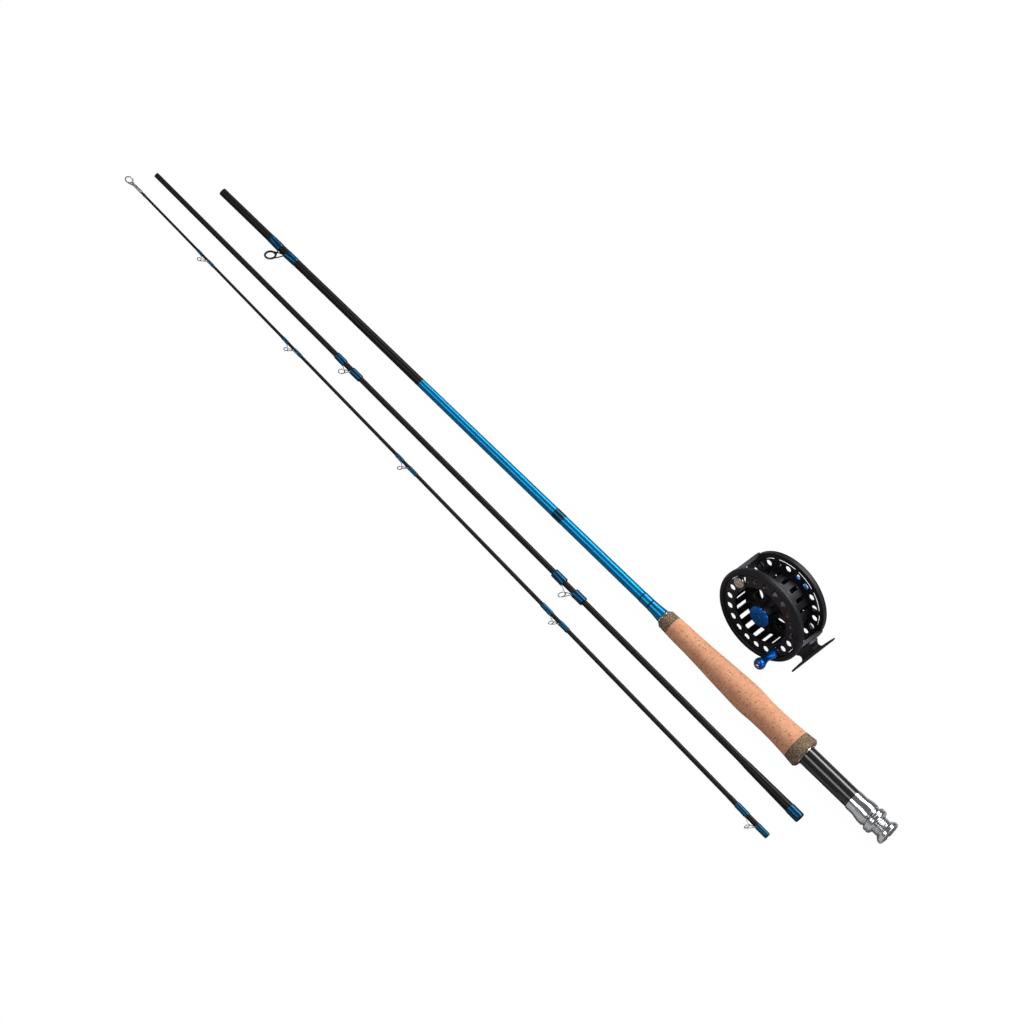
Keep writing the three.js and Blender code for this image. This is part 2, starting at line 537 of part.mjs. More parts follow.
function dragParts(parent) {
  add(parent, 'spindle', discZ(SPINDLE.start, SPINDLE.end, SPINDLE.radius, 20), 'steel');
  const post = discZ(CLICK.start, HOUSING.start + 2, CLICK.post, 8).translate(CLICK.pivot, 0, 0);
  post.rotateZ(rad(CLICK.phase));
  const cup = tubeZ(HOUSING.start, HOUSING.end, HOUSING.outer, HOUSING.inner);
  add(parent, 'drag_housing', geometryOf(solid(cup).add(solid(post))), 'black');
  const { radius, sleeveTop, hubFront, plateFront, plateEnd, washerEnd } = DRAG;
  const bore = SPINDLE.radius + FIT;
  add(parent, 'drag_washer', tubeZ(plateEnd + FIT, washerEnd, radius, SPINDLE.radius + 1), 'felt');
  add(parent, 'drag_rotor', turnedZ([[hubFront, bore], [hubFront, sleeveTop], [plateFront, sleeveTop],
    [plateFront, radius], [plateEnd, radius], [plateEnd, bore], [hubFront, bore]]), 'steel');
  const lobes = new THREE.Shape();
  const count = KNOB.lobes * 4;
  for (let i = 0; i < count; i += 1) {
    const a = (2 * Math.PI * i) / count;
    const r = KNOB.radius - 0.7 + 0.7 * Math.cos(KNOB.lobes * a);
    if (i === 0) lobes.moveTo(r, 0);
    else lobes.lineTo(r * Math.cos(a), r * Math.sin(a));
  }
  lobes.closePath();
  const dial = new THREE.ExtrudeGeometry(lobes, { depth: KNOB.end - KNOB.start, bevelEnabled: false });
  const shaft = discZ(BACK.start, KNOB.start + 1, BACK.bore - FIT, 12);
  add(parent, 'drag_knob', geometryOf(solid(dial.translate(0, 0, -KNOB.end)).add(solid(shaft))), 'anodised');
}

function clickParts(parent) {
  const { pivot, tip, start, end } = CLICK;
  const group = new THREE.Group();
  group.rotation.set(0, 0, rad(CLICK.phase));
  parent.add(group);
  const shape = new THREE.Shape();
  shape.moveTo(tip + FIT, 0);
  shape.lineTo(tip + 1.2, -0.7);
  shape.lineTo(pivot - 1, -1.5);
  shape.lineTo(pivot + 1.4, -1.5);
  shape.lineTo(pivot + 1.4, 1.5);
  shape.lineTo(pivot - 1, 1.5);
  shape.lineTo(tip + 1.2, 0.7);
  shape.closePath();
  const around = new THREE.Vector2(pivot, 0);
  shape.holes.push(new THREE.Path(roundShape(CLICK.post + FIT, 8).getPoints().map((p) => p.add(around))));
  const pawl = new THREE.ExtrudeGeometry(shape, { depth: end - start, bevelEnabled: false });
  add(group, 'click_pawl', pawl.translate(0, 0, -end), 'steel');
}

function reel() {
  const parent = reelGroup();
  reelFrame(parent);
  reelFoot(parent);
  dragParts(parent);
  clickParts(parent);
  spool(parent);
  spoolFittings(parent);
  handle(parent);
}

// ---------------------------------------------------------------- assembly
buttSection();
midSection();
tipSection();
reel();

const group = new THREE.Group();
group.add(root);
group.updateMatrixWorld(true);
const box = new THREE.Box3().setFromObject(group, true);
const middle = box.getCenter(new THREE.Vector3());
root.position.set(-middle.x, -middle.y, -box.min.z);
group.updateMatrixWorld(true);

export default group;
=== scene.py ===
"""Fly rod in three sections and a fly reel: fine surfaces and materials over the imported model."""
import json
import math

import bmesh
import bpy
from mathutils import Matrix, Vector


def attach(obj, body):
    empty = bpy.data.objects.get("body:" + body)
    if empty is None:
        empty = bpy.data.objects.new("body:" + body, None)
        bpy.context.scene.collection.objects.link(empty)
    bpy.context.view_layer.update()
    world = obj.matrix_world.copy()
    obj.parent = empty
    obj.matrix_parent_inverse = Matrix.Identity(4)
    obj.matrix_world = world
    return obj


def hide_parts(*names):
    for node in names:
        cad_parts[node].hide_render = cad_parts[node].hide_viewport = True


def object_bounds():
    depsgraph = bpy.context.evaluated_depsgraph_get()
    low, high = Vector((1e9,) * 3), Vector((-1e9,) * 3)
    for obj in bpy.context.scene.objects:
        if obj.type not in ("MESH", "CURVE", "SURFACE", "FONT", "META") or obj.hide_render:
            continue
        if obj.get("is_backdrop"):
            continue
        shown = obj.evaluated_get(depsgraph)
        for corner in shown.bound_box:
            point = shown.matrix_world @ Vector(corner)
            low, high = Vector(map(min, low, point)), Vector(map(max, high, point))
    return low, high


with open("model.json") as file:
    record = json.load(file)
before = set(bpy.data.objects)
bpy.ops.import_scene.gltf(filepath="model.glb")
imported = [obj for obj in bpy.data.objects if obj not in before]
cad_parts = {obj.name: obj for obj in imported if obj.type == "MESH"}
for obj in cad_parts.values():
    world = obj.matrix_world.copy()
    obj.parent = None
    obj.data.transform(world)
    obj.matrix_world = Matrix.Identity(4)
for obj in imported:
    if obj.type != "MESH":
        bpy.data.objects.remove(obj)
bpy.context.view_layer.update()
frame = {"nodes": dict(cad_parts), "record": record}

MM = 0.001
scene = bpy.context.scene
JOINTS = {j["name"]: j for j in frame["record"]["behaviour"]["joints"]}
MOUNTS = {m["name"]: m for m in frame["record"]["mounts"]}

# ------------------------------------------------------------------ driving values, in millimetres
ROUND = 48                    # facets round a rod piece
RING = 96                     # facets round a reel piece
PAINT_START = 242.5           # where the blue paint starts on the butt section
WRAP_STAND, WRAP_THICK = 0.35, 0.17    # how far the CAD wrap and this one stand off the blank
HOSEL_STAND, HOSEL_BAND = 0.5, 10      # the hosel wrap's stand, and the length of its first band
THREAD_PITCH = 1.5
THREAD_DEPTH = 0.45
GRIP_RADII = (8.5, 9.3, 9.7, 10.5, 11.5, 12.4, 13.0, 12.2, 12.2, 13.1, 14.6)
GUIDE_WIRE = 0.42
# ring radius and lean in degrees of each guide
GUIDE_RINGS = {
    "mid_guide_1": (2.7, 50), "mid_guide_2": (3.3, 32),
    "tip_guide_1": (1.6, 62), "tip_guide_2": (1.7, 55), "tip_guide_3": (2.0, 38),
    "tip_guide_4": (2.1, 32), "tip_guide_5": (2.4, 18),
}
STRIPPER_RING, STRIPPER_WIRE, STRIPPER_LEAN = 4.8, 0.62, 46
CORK_RING = 12.7              # length of each ring the cork grip is glued up from
GRIP_BORE, CHECK_BORE, THREAD_CORE = 5.2, 5.1, 5.3
COLLAR_OUTER, COLLAR_BORE = 10.2, 8.9
BARREL_OUTER, BARREL_BORE = 8.7, 7.6
HOOD_FLARE, HOOD_TAIL, HOOD_BORE = 10.6, 9.7, 9.0
NUT_RADIUS, NUT_BORE = 11.8, 8.7
CAP_RADIUS, CAP_NECK, CAP_FACE = 11.0, 9.0, 9.4
RIM_OUTER, RIM_INNER, REAR_OUTER, REAR_INNER = 44.0, 38.6, 42.0, 37.6
HOLE_COUNT, HOLE_CIRCLE, HOLE_RADIUS, HOLE_PHASE = 20, 33.4, 2.9, 11
ARBOR_INNER, ARBOR_OUTER, SLOT_COUNT = 27.0, 28.4, 18
SLOT_ROWS = ((3.3, 15.8), (19.2, 30.6))
FRONT_FLANGE, REAR_FLANGE = (38.2, 1.2, 2.8), (37.2, 31.4, 33)    # radius, near depth, far depth
WEB_DEPTHS, WEB_HOLES, WEB_PHASE, WEB_CIRCLE, WEB_HOLE = (16.4, 18.4), 5, -21, 17.4, 6.6
HUB_RADIUS, HUB_BORE = 7.5, 4.95
HOUSING_OUTER, HOUSING_INNER, HOUSING_FRONT, HOUSING_BACK = 14.6, 12.8, 23, 34.3
PAWL_CIRCLE, PAWL_ANGLE, PAWL_POST = 13.7, 32, 0.6
HANDLE_LENGTH, HANDLE_BORE, HANDLE_PIN = 26.5, 1.8, 1.5
KNOB_RADIUS, KNOB_LOBES = 16.4, 12
WINDOWS, WINDOW_IN, WINDOW_OUT = 10, 26.0, 36.4
FITTING_CIRCLE, WEIGHT_ANGLE, HANDLE_ANGLE = 33.0, 168.0, -20.0
WEIGHT_HOLE, HANDLE_HOLE = 2.9, 2.7
# the camera's azimuth, elevation and roll, its distance, and the reel's place seen from its aim, in metres
CAMERA_ANGLES, CAMERA_DISTANCE, REEL_FROM_AIM = (18.42, 46.99, 31.3), 4.75, Vector((0.208, 0.073, 0.0439))
SENSOR_WIDTH, LENS = 36, 200
# turns a profile about X into one about the reel's depth axis
SPIN = Matrix(((0, 0, 1, 0), (0, 1, 0, 0), (-1, 0, 0, 0), (0, 0, 0, 1)))


# ------------------------------------------------------------------ places taken from the frame
def points_of(node):
    return [v.co.copy() for v in frame["nodes"][node].data.vertices]


def mean(points):
    return sum(points, Vector()) / len(points)


def axes_matrix(x, y, z, origin):
    m = Matrix((x, y, z)).transposed().to_4x4()
    m.translation = origin
    return m @ Matrix.Scale(MM, 4)


def rod_matrix(blank, guide, start_x):
    """Section frame: X along the blank from its thin end, -Y towards the guides, in millimetres."""
    points = points_of(blank)
    low = min(p.x for p in points)
    high = max(p.x for p in points)
    start = mean([p for p in points if p.x < low + MM])
    along = (mean([p for p in points if p.x > high - MM]) - start).normalized()
    ring = mean(points_of(guide)) - start
    out = (ring - ring.dot(along) * along).normalized()
    side = along.cross(-out)
    return axes_matrix(along, -out, side, start - along * start_x * MM)


def reel_matrix():
    """Reel frame: Z out of the front, X towards the foot, origin at the centre of the front rim."""
    front = Vector(JOINTS["spool_spin"]["axis"]).normalized()
    foot = Vector(MOUNTS["reel_foot_seat"]["axis"])
    foot = (foot - foot.dot(front) * front).normalized()
    return axes_matrix(foot, front.cross(foot), front, Vector(JOINTS["spool_spin"]["pos_m"]))


BUTT = rod_matrix("butt_blank", "stripping_guide_ring", 0)
MID = rod_matrix("mid_blank", "mid_guide_2", 0)
TIP = rod_matrix("tip_blank", "tip_guide_4", 7)
REEL = reel_matrix()


def local(node, matrix):
    inverse = matrix.inverted()
    return [inverse @ p for p in points_of(node)]


def span_x(node, matrix):
    """Lowest x, highest x, and the radius at each end, of a piece turned about X."""
    points = local(node, matrix)
    low = min(p.x for p in points)
    high = max(p.x for p in points)
    r0 = max(math.hypot(p.y, p.z) for p in points if p.x < low + 0.1)
    r1 = max(math.hypot(p.y, p.z) for p in points if p.x > high - 0.1)
    return low, high, r0, r1


# ------------------------------------------------------------------ mesh helpers
def finish_mesh(name, bm, matrix, looks, sharp=35):
    bmesh.ops.recalc_face_normals(bm, faces=bm.faces)
    bm.transform(matrix)
    limit = math.radians(sharp)
    for edge in bm.edges:
        edge.smooth = len(edge.link_faces) == 2 and edge.calc_face_angle(0) < limit
    for face in bm.faces:
        face.smooth = True
    mesh = bpy.data.meshes.new(name)
    bm.to_mesh(mesh)
    bm.free()
    for look in looks if isinstance(looks, (list, tuple)) else [looks]:
        mesh.materials.append(look)
    obj = bpy.data.objects.new(name, mesh)
    scene.collection.objects.link(obj)
    return obj


def rounded(profile, radius, steps=4):
    """The polyline with its inner corners turned into short curves."""
    out = [profile[0]]
    for before, corner, after in zip(profile, profile[1:], profile[2:]):
        a = Vector(before) - Vector(corner)
        b = Vector(after) - Vector(corner)
        cut = min(radius, a.length * 0.45, b.length * 0.45)
        p = Vector(corner) + a.normalized() * cut
        q = Vector(corner) + b.normalized() * cut
        for i in range(steps + 1):
            t = i / steps
            out.append(tuple(p * (1 - t) ** 2 + Vector(corner) * 2 * t * (1 - t) + q * t * t))
    out.append(profile[-1])
    return out


def add_turned(bm, profile, sides=ROUND, closed=True, slot_of=None, turn=None):
    """Adds a surface turned about X. profile is (x, radius); UVs are in millimetres round and along."""
    uv = bm.loops.layers.uv.verify()
    rings = []
    for x, r in profile:
        if r < 1e-4:
            rings.append([bm.verts.new((x, 0, 0))] * sides)
            continue
        rings.append([bm.verts.new((x, r * math.cos(a), r * math.sin(a)))
                      for a in (2 * math.pi * i / sides for i in range(sides))])
    if turn:
        for verts in rings:
            for v in set(verts):
                v.co = turn @ v.co
    count = len(rings) if closed else len(rings) - 1
    for k in range(count):
        a, b = rings[k], rings[(k + 1) % len(rings)]
        xa, ra = profile[k]
        xb, rb = profile[(k + 1) % len(profile)]
        for i in range(sides):
            j = (i + 1) % sides
            corners = []
            for v, u, x in ((a[i], i, xa), (a[j], i + 1, xa), (b[j], i + 1, xb), (b[i], i, xb)):
                if not corners or (v is not corners[-1][0] and v is not corners[0][0]):
                    corners.append((v, u, x))
            if len(corners) < 3:
                continue
            face = bm.faces.new([c[0] for c in corners])
            reach = 2 * math.pi * max(ra, rb) / sides
            for loop, (_, u, x) in zip(face.loops, corners):
                loop[uv].uv = (u * reach, x)
            if slot_of:
                face.material_index = slot_of((xa + xb) / 2, (ra + rb) / 2)


def turned(name, profile, matrix, looks, sides=ROUND, closed=True, slot_of=None, sharp=35):
    bm = bmesh.new()
    add_turned(bm, profile, sides, closed, slot_of)
    return finish_mesh(name, bm, matrix, looks, sharp)


def about_z(matrix):
    """Turns the X of a turned profile onto the reel's depth axis, so x means depth behind the front rim."""
    return matrix @ SPIN


def add_sweep(bm, path, radius, sides=14):
    """Adds a round wire along a smooth path, with rounded ends."""
    points = smooth_path(path)
    uv = bm.loops.layers.uv.verify()
    normal = None
    rings = []
    run = 0.0
    runs = []
    for i, p in enumerate(points):
        ahead = points[min(i + 1, len(points) - 1)] - points[max(i - 1, 0)]
        tangent = ahead.normalized()
        if normal is None:
            normal = tangent.orthogonal().normalized()
        normal = (normal - tangent * normal.dot(tangent)).normalized()
        other = tangent.cross(normal)
        end = min(i, len(points) - 1 - i)
        r = radius * (0.55, 0.85)[end] if end < 2 else radius
        rings.append([bm.verts.new(p + (normal * math.cos(a) + other * math.sin(a)) * r)
                      for a in (2 * math.pi * k / sides for k in range(sides))])
        run += (p - points[i - 1]).length if i else 0
        runs.append(run)
    for k in range(len(rings) - 1):
        for i in range(sides):
            j = (i + 1) % sides
            face = bm.faces.new((rings[k][i], rings[k][j], rings[k + 1][j], rings[k + 1][i]))
            for loop, (u, v) in zip(face.loops, ((i, k), (i + 1, k), (i + 1, k + 1), (i, k + 1))):
                loop[uv].uv = (u * 2 * math.pi * radius / sides, runs[v])
    bm.faces.new(rings[0])
    bm.faces.new(reversed(rings[-1]))


def smooth_path(path, per=8):
    """Catmull-Rom points through a list of corners."""
    pts = [Vector(p) for p in path]
    pts = [pts[0] * 2 - pts[1]] + pts + [pts[-1] * 2 - pts[-2]]
    out = []
    for a, b, c, d in zip(pts, pts[1:], pts[2:], pts[3:]):
        for i in range(per):
            t = i / per
            out.append(0.5 * ((2 * b) + (c - a) * t + (2 * a - 5 * b + 4 * c - d) * t * t
                              + (3 * b - a - 3 * c + d) * t ** 3))
    out.append(pts[-2])
    return out


def bridge(bm, a, b):
    """Joins two closed rings that have the same number of points."""
    for i in range(len(a)):
        j = (i + 1) % len(a)
        bm.faces.new((a[i], a[j], b[j], b[i]))


def circle(radius, count, centre=(0, 0), phase=0.0):
    return [(centre[0] + radius * math.cos(phase + 2 * math.pi * i / count),
             centre[1] + radius * math.sin(phase + 2 * math.pi * i / count)) for i in range(count)]


def plate_mesh(loops, d0, d1, edge):
    """A flat plate between two depths with rounded edges; the first loop is its outline, the rest are holes."""
    curve = bpy.data.curves.new("plate", "CURVE")
    curve.dimensions = "2D"
    curve.fill_mode = "BOTH"
    curve.extrude = (d1 - d0) / 2 - edge
    curve.bevel_depth = edge
    curve.bevel_resolution = 2
    curve.offset = -edge
    for loop in loops:
        spline = curve.splines.new("POLY")
        spline.points.add(len(loop) - 1)
        for point, (x, y) in zip(spline.points, loop):
            point.co = (x, y, 0, 1)
        spline.use_cyclic_u = True
    obj = bpy.data.objects.new("plate", curve)
    scene.collection.objects.link(obj)
    mesh = bpy.data.meshes.new_from_object(obj.evaluated_get(bpy.context.evaluated_depsgraph_get()))
    bpy.data.objects.remove(obj)
    mesh.transform(Matrix.Translation((0, 0, -(d0 + d1) / 2)))
    return mesh


def add_plate(bm, loops, d0, d1, edge=0.25):
    mesh = plate_mesh(loops, d0, d1, edge)
    bm.from_mesh(mesh)
    bpy.data.meshes.remove(mesh)
    bmesh.ops.remove_doubles(bm, verts=bm.verts, dist=1e-5)


def polar(radius, degrees):
    return radius * math.cos(math.radians(degrees)), radius * math.sin(math.radians(degrees))


def put(obj, body, *nodes, slot=None):
    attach(obj, body)
    if nodes:
        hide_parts(*nodes)
    return obj


# ------------------------------------------------------------------ material helpers
class Look:
    """A node material with one Principled shader and short ways to feed it."""

    def __init__(self, name, colour, rough, metal=0.0, coat=0.0):
        self.material = bpy.data.materials.new(name)
        self.material.use_nodes = True
        self.tree = self.material.node_tree
        self.shader = self.tree.nodes["Principled BSDF"]
        self.set(self.shader, {"Base Color": (*colour, 1), "Roughness": rough, "Metallic": metal,
                               "Coat Weight": coat, "Coat Roughness": 0.06})
        self.bump_from = None

    def set(self, node, values):
        for key, value in values.items():
            node.inputs[key].default_value = value

    def node(self, kind, **inputs):
        node = self.tree.nodes.new(kind)
        for key, value in inputs.items():
            setattr(node, key, value)
        return node

    def link(self, source, target):
        self.tree.links.new(source, target)

    def coordinates(self, kind, scale):
        coords = self.node("ShaderNodeTexCoord")
        mapping = self.node("ShaderNodeMapping")
        self.link(coords.outputs[kind], mapping.inputs["Vector"])
        mapping.inputs["Scale"].default_value = scale
        return mapping.outputs["Vector"]

    def noise(self, vector, scale, detail=4.0, rough=0.5):
        node = self.node("ShaderNodeTexNoise")
        self.set(node, {"Scale": scale, "Detail": detail, "Roughness": rough})
        self.link(vector, node.inputs["Vector"])
        return node.outputs["Fac"]

    def cells(self, vector, scale, feature="F1"):
        node = self.node("ShaderNodeTexVoronoi", feature=feature)
        self.set(node, {"Scale": scale})
        self.link(vector, node.inputs["Vector"])
        return node

    def bands(self, vector, scale, direction="Y", distortion=0.0):
        node = self.node("ShaderNodeTexWave", wave_type="BANDS", bands_direction=direction)
        self.set(node, {"Scale": scale, "Distortion": distortion, "Detail": 1.0})
        self.link(vector, node.inputs["Vector"])
        return node.outputs["Fac"]

    def ramp(self, value, stops):
        node = self.node("ShaderNodeValToRGB")
        ramp = node.color_ramp
        while len(ramp.elements) < len(stops):
            ramp.elements.new(0.5)
        for element, (place, colour) in zip(ramp.elements, stops):
            element.position = place
            element.color = (*colour, 1) if len(colour) == 3 else colour
        self.link(value, node.inputs["Fac"])
        return node.outputs["Color"]

    def range(self, value, low, high, start=0.0, stop=1.0):
        node = self.node("ShaderNodeMapRange")
        self.set(node, {"From Min": start, "From Max": stop, "To Min": low, "To Max": high})
        self.link(value, node.inputs["Value"])
        return node.outputs["Result"]

    def mix(self, factor, a, b, kind="MIX"):
        node = self.node("ShaderNodeMixRGB", blend_type=kind)
        for key, value in (("Fac", factor), ("Color1", a), ("Color2", b)):
            if isinstance(value, (int, float)):
                node.inputs[key].default_value = value
            elif isinstance(value, tuple):
                node.inputs[key].default_value = (*value, 1)
            else:
                self.link(value, node.inputs[key])
        return node.outputs["Color"]

    def colour(self, value):
        self.link(value, self.shader.inputs["Base Color"])

    def roughness(self, value):
        self.link(value, self.shader.inputs["Roughness"])

    def bump(self, value, strength, distance):
        node = self.node("ShaderNodeBump")
        self.set(node, {"Strength": strength, "Distance": distance})
        self.link(value, node.inputs["Height"])
        if self.bump_from:
            self.link(self.bump_from, node.inputs["Normal"])
        self.bump_from = node.outputs["Normal"]
        self.link(self.bump_from, self.shader.inputs["Normal"])
        return self


def carbon_look():
    look = Look("carbon_blank", (0.007, 0.007, 0.008), 0.38, 0.0, 0.0)
    fibres = look.noise(look.coordinates("UV", (0.6, 0.2, 1)), 4, 4, 0.5)
    look.colour(look.ramp(fibres, [(0.3, (0.0055, 0.0055, 0.0065)), (0.75, (0.008, 0.008, 0.009))]))
    look.roughness(look.range(fibres, 0.34, 0.38))
    look.shader.inputs["Specular IOR Level"].default_value = 0.18
    return look.material


def blue_paint_look():
    look = Look("blue_paint", (0.0, 0.21, 0.48), 0.34, 0.85, 0.04)
    flakes = look.cells(look.coordinates("UV", (1, 1, 1)), 9).outputs["Distance"]
    look.colour(look.ramp(flakes, [(0.0, (0.0, 0.25, 0.53)), (0.7, (0.0, 0.20, 0.45))]))
    look.roughness(look.range(flakes, 0.31, 0.37))
    return look.material


def wrap_look(name, dark, light):
    look = Look(name, dark, 0.3, 0.75, 0.05)
    turns = look.bands(look.coordinates("UV", (1, 1, 1)), 1.6, "Y", 0.3)
    look.colour(look.ramp(turns, [(0.1, dark), (0.9, light)]))
    look.roughness(look.range(turns, 0.27, 0.34))
    look.bump(turns, 0.03, 0.00003)
    look.shader.inputs["Coat Roughness"].default_value = 0.03
    return look.material


def cork_look():
    look = Look("cork", (0.68, 0.32, 0.18), 0.72)
    near = look.coordinates("Object", (1, 1, 1))
    stretched = look.coordinates("UV", (0.55, 1.0, 1))
    cloud = look.noise(near, 110, 5, 0.6)
    base = look.ramp(cloud, [(0.25, (0.67, 0.25, 0.12)), (0.5, (0.80, 0.36, 0.195)), (0.8, (0.90, 0.45, 0.26))])
    grain = look.noise(near, 900, 4, 0.6)
    grained = look.mix(0.4, base, look.ramp(grain, [(0.3, (0.50, 0.19, 0.085)), (0.7, (0.95, 0.54, 0.33))]))
    pits = look.ramp(look.noise(stretched, 0.6, 5, 0.62), [(0.35, (0, 0, 0)), (0.41, (1, 1, 1))])
    fleck = look.mix(pits, (0.16, 0.06, 0.028), grained)
    ring_places = look.coordinates("UV", (0, 1 / CORK_RING, 0))
    seams = look.ramp(look.bands(ring_places, math.pi / 10, "Y"), [(0.0, (0, 0, 0)), (0.0022, (1, 1, 1))])
    look.colour(look.mix(look.range(seams, 0.72, 1.0), (0.28, 0.12, 0.06), fleck))
    look.roughness(look.range(grain, 0.6, 0.85))
    look.bump(pits, 0.55, 0.0003).bump(grain, 0.25, 0.0002)
    return look.material


def composite_look():
    look = Look("burl_cork", (0.12, 0.075, 0.042), 0.7)
    near = look.coordinates("Object", (1, 1, 1))
    cells = look.cells(near, 1700)
    grains = look.ramp(cells.outputs["Color"], [(0.15, (0.04, 0.025, 0.015)), (0.5, (0.19, 0.12, 0.072)),
                                                (0.85, (0.50, 0.33, 0.20))])
    look.colour(look.mix(look.range(look.noise(near, 1500), 0, 0.35), grains, (0.07, 0.048, 0.03)))
    look.bump(cells.outputs["Distance"], 0.3, 0.0002)
    return look.material


def weave_look():
    look = Look("seat_weave", (0.008, 0.009, 0.009), 0.16, 0.0, 0.4)
    turn = look.node("ShaderNodeMapping")
    turn.inputs["Rotation"].default_value = (0, 0, math.radians(45))
    look.link(look.coordinates("UV", (1, 1, 1)), turn.inputs["Vector"])
    checker = look.node("ShaderNodeTexChecker")
    look.set(checker, {"Scale": 0.55})
    look.link(turn.outputs["Vector"], checker.inputs["Vector"])
    strands = look.mix(checker.outputs["Fac"], look.bands(turn.outputs["Vector"], 1.6, "X"),
                       look.bands(turn.outputs["Vector"], 1.6, "Y"))
    tows = look.mix(checker.outputs["Fac"], (0.004, 0.0045, 0.0045), (0.014, 0.016, 0.0155))
    look.colour(look.mix(look.range(strands, 0.0, 0.3), tows, (0.024, 0.026, 0.025)))
    look.bump(strands, 0.05, 0.00005)
    return look.material


def metal_look(name, colour, rough, spread=0.08, wear_and_edge_highlight=0.5, marks=0.06):
    """Turned or drawn metal: fine marks round it, patchy roughness and a little wear."""
    look = Look(name, colour, rough, 1.0)
    turning = look.noise(look.coordinates("UV", (0.15, 8, 1)), 1.5, 4)
    patch = look.noise(look.coordinates("Object", (1, 1, 1)), 160, 3)
    look.colour(look.mix(look.range(patch, 0.0, wear_and_edge_highlight, 0.3, 0.8), colour, tuple(c * 0.78 for c in colour)))
    look.roughness(look.range(patch, rough - spread / 2, rough + spread))
    look.bump(turning, marks, 0.00004)
    return look.material


def anodised_look(name, colour, rough, metal=0.6, wear_and_edge_highlight=(0.12, 0.12, 0.13)):
    """Bead-blasted and anodised aluminium, with a painted highlight: its sharp edges are paler, in patches."""
    look = Look(name, colour, rough, metal)
    near = look.coordinates("Object", (1, 1, 1))
    grain = look.noise(near, 2600, 3)
    geometry = look.node("ShaderNodeNewGeometry")
    # painted edge highlight: sharp edges, found by pointiness and broken up by noise, take the paler colour given
    # last
    edges = look.ramp(geometry.outputs["Pointiness"], [(0.505, (0, 0, 0)), (0.56, (1, 1, 1))])
    painted_edge_highlight = look.mix(1.0, edges, look.range(look.noise(near, 300, 4), 0.1, 0.8), "MULTIPLY")
    shade = look.mix(look.range(look.noise(near, 120, 3), 0, 0.6), colour, tuple(c * 0.6 for c in colour))
    look.colour(look.mix(painted_edge_highlight, shade, wear_and_edge_highlight))
    look.roughness(look.range(grain, rough - 0.05, rough + 0.1))
    look.bump(grain, 0.1, 0.00005)
    return look.material


def plain_look(name, colour, rough, metal=0.0, scale=800, bump=0.15):
    look = Look(name, colour, rough, metal)
    grain = look.noise(look.coordinates("Object", (1, 1, 1)), scale, 5)
    look.colour(look.mix(look.range(grain, 0.0, 0.7), tuple(min(1, c * 1.15) for c in colour),
                         tuple(c * 0.7 for c in colour)))
    look.roughness(look.range(grain, rough - 0.08, rough + 0.08))
    look.bump(grain, bump, 0.0001)
    return look.material


CARBON = carbon_look()
BLUE_PAINT = blue_paint_look()
WRAP = wrap_look("thread_wrap", (0.0, 0.04, 0.10), (0.0, 0.075, 0.165))
HOSEL = wrap_look("hosel_wrap", (0.0, 0.17, 0.38), (0.0, 0.23, 0.48))
DARK_WRAP = wrap_look("dark_wrap", (0.0, 0.03, 0.07), (0.0, 0.06, 0.12))
CORK = cork_look()
BURL = composite_look()
WEAVE = weave_look()
CHROME = metal_look("chrome", (0.80, 0.81, 0.83), 0.13, 0.03, 0.1, 0.004)
WIRE = metal_look("guide_wire", (0.42, 0.42, 0.44), 0.25)
STEEL = metal_look("steel", (0.5, 0.5, 0.52), 0.3)
BLACK_STEEL = metal_look("black_steel", (0.045, 0.045, 0.05), 0.25, 0.1)
CERAMIC = plain_look("ring_insert", (0.09, 0.09, 0.10), 0.14, 0.2, 400, 0.03)
# the last colour given to each anodised look is its painted edge highlight
BLACK = anodised_look("black_anodised", (0.009, 0.009, 0.015), 0.44, 0.4, (0.05, 0.05, 0.06))
BLUE = anodised_look("blue_anodised", (0.0, 0.14, 0.62), 0.28, 0.85, (0.15, 0.38, 0.85))
SILVER = metal_look("bright_metal", (0.66, 0.63, 0.58), 0.24, 0.1)
FOAM = plain_look("foam", (0.72, 0.66, 0.5), 0.85, 0, 1500, 0.4)
FELT = plain_look("drag_cork", (0.5, 0.33, 0.17), 0.8, 0, 1200, 0.4)
END_FACE = plain_look("cap_face", (0.03, 0.03, 0.033), 0.35, 0.4, 600)


# ------------------------------------------------------------------ rod pieces
def blank_profile(node, matrix, hollow=0.8, socket=None, depth=60, step=12):
    """Outside from the thin end, then back along the bore; the taper is read off the CAD blank."""
    low, high, r0, r1 = span_x(node, matrix)
    table = outer_table(node, matrix)
    count = max(2, int((high - low) / step))
    xs = [low + (high - low) * i / count for i in range(count + 1)]
    outside = [(x, interpolate(table, x)) for x in xs]
    lip = 0.25
    front = [(low, r0 - hollow), (low, r0 - lip), (low + lip, r0)]
    rear = [(high - lip, r1), (high, r1 - lip)]
    bore = socket or r1 - hollow
    inside = [(high, bore), (high - depth, bore), (high - depth - 10, min(bore, r1 - 1.6))]
    return front + outside[1:-1] + rear + inside


def outer_table(node, matrix):
    """(x, largest radius) at each ring of a turned CAD piece."""
    rings = {}
    for p in local(node, matrix):
        x = round(p.x, 0)
        rings[x] = max(rings.get(x, 0), math.hypot(p.y, p.z))
    top = sorted(rings.items())
    return [(x, r) for x, r in top if r > 0.55 * max(r for _, r in top) or x in (top[0][0], top[-1][0])]


def interpolate(table, x):
    for (x0, r0), (x1, r1) in zip(table, table[1:]):
        if x <= x1:
            return r0 + (r1 - r0) * (x - x0) / max(1e-6, x1 - x0)
    return table[-1][1]


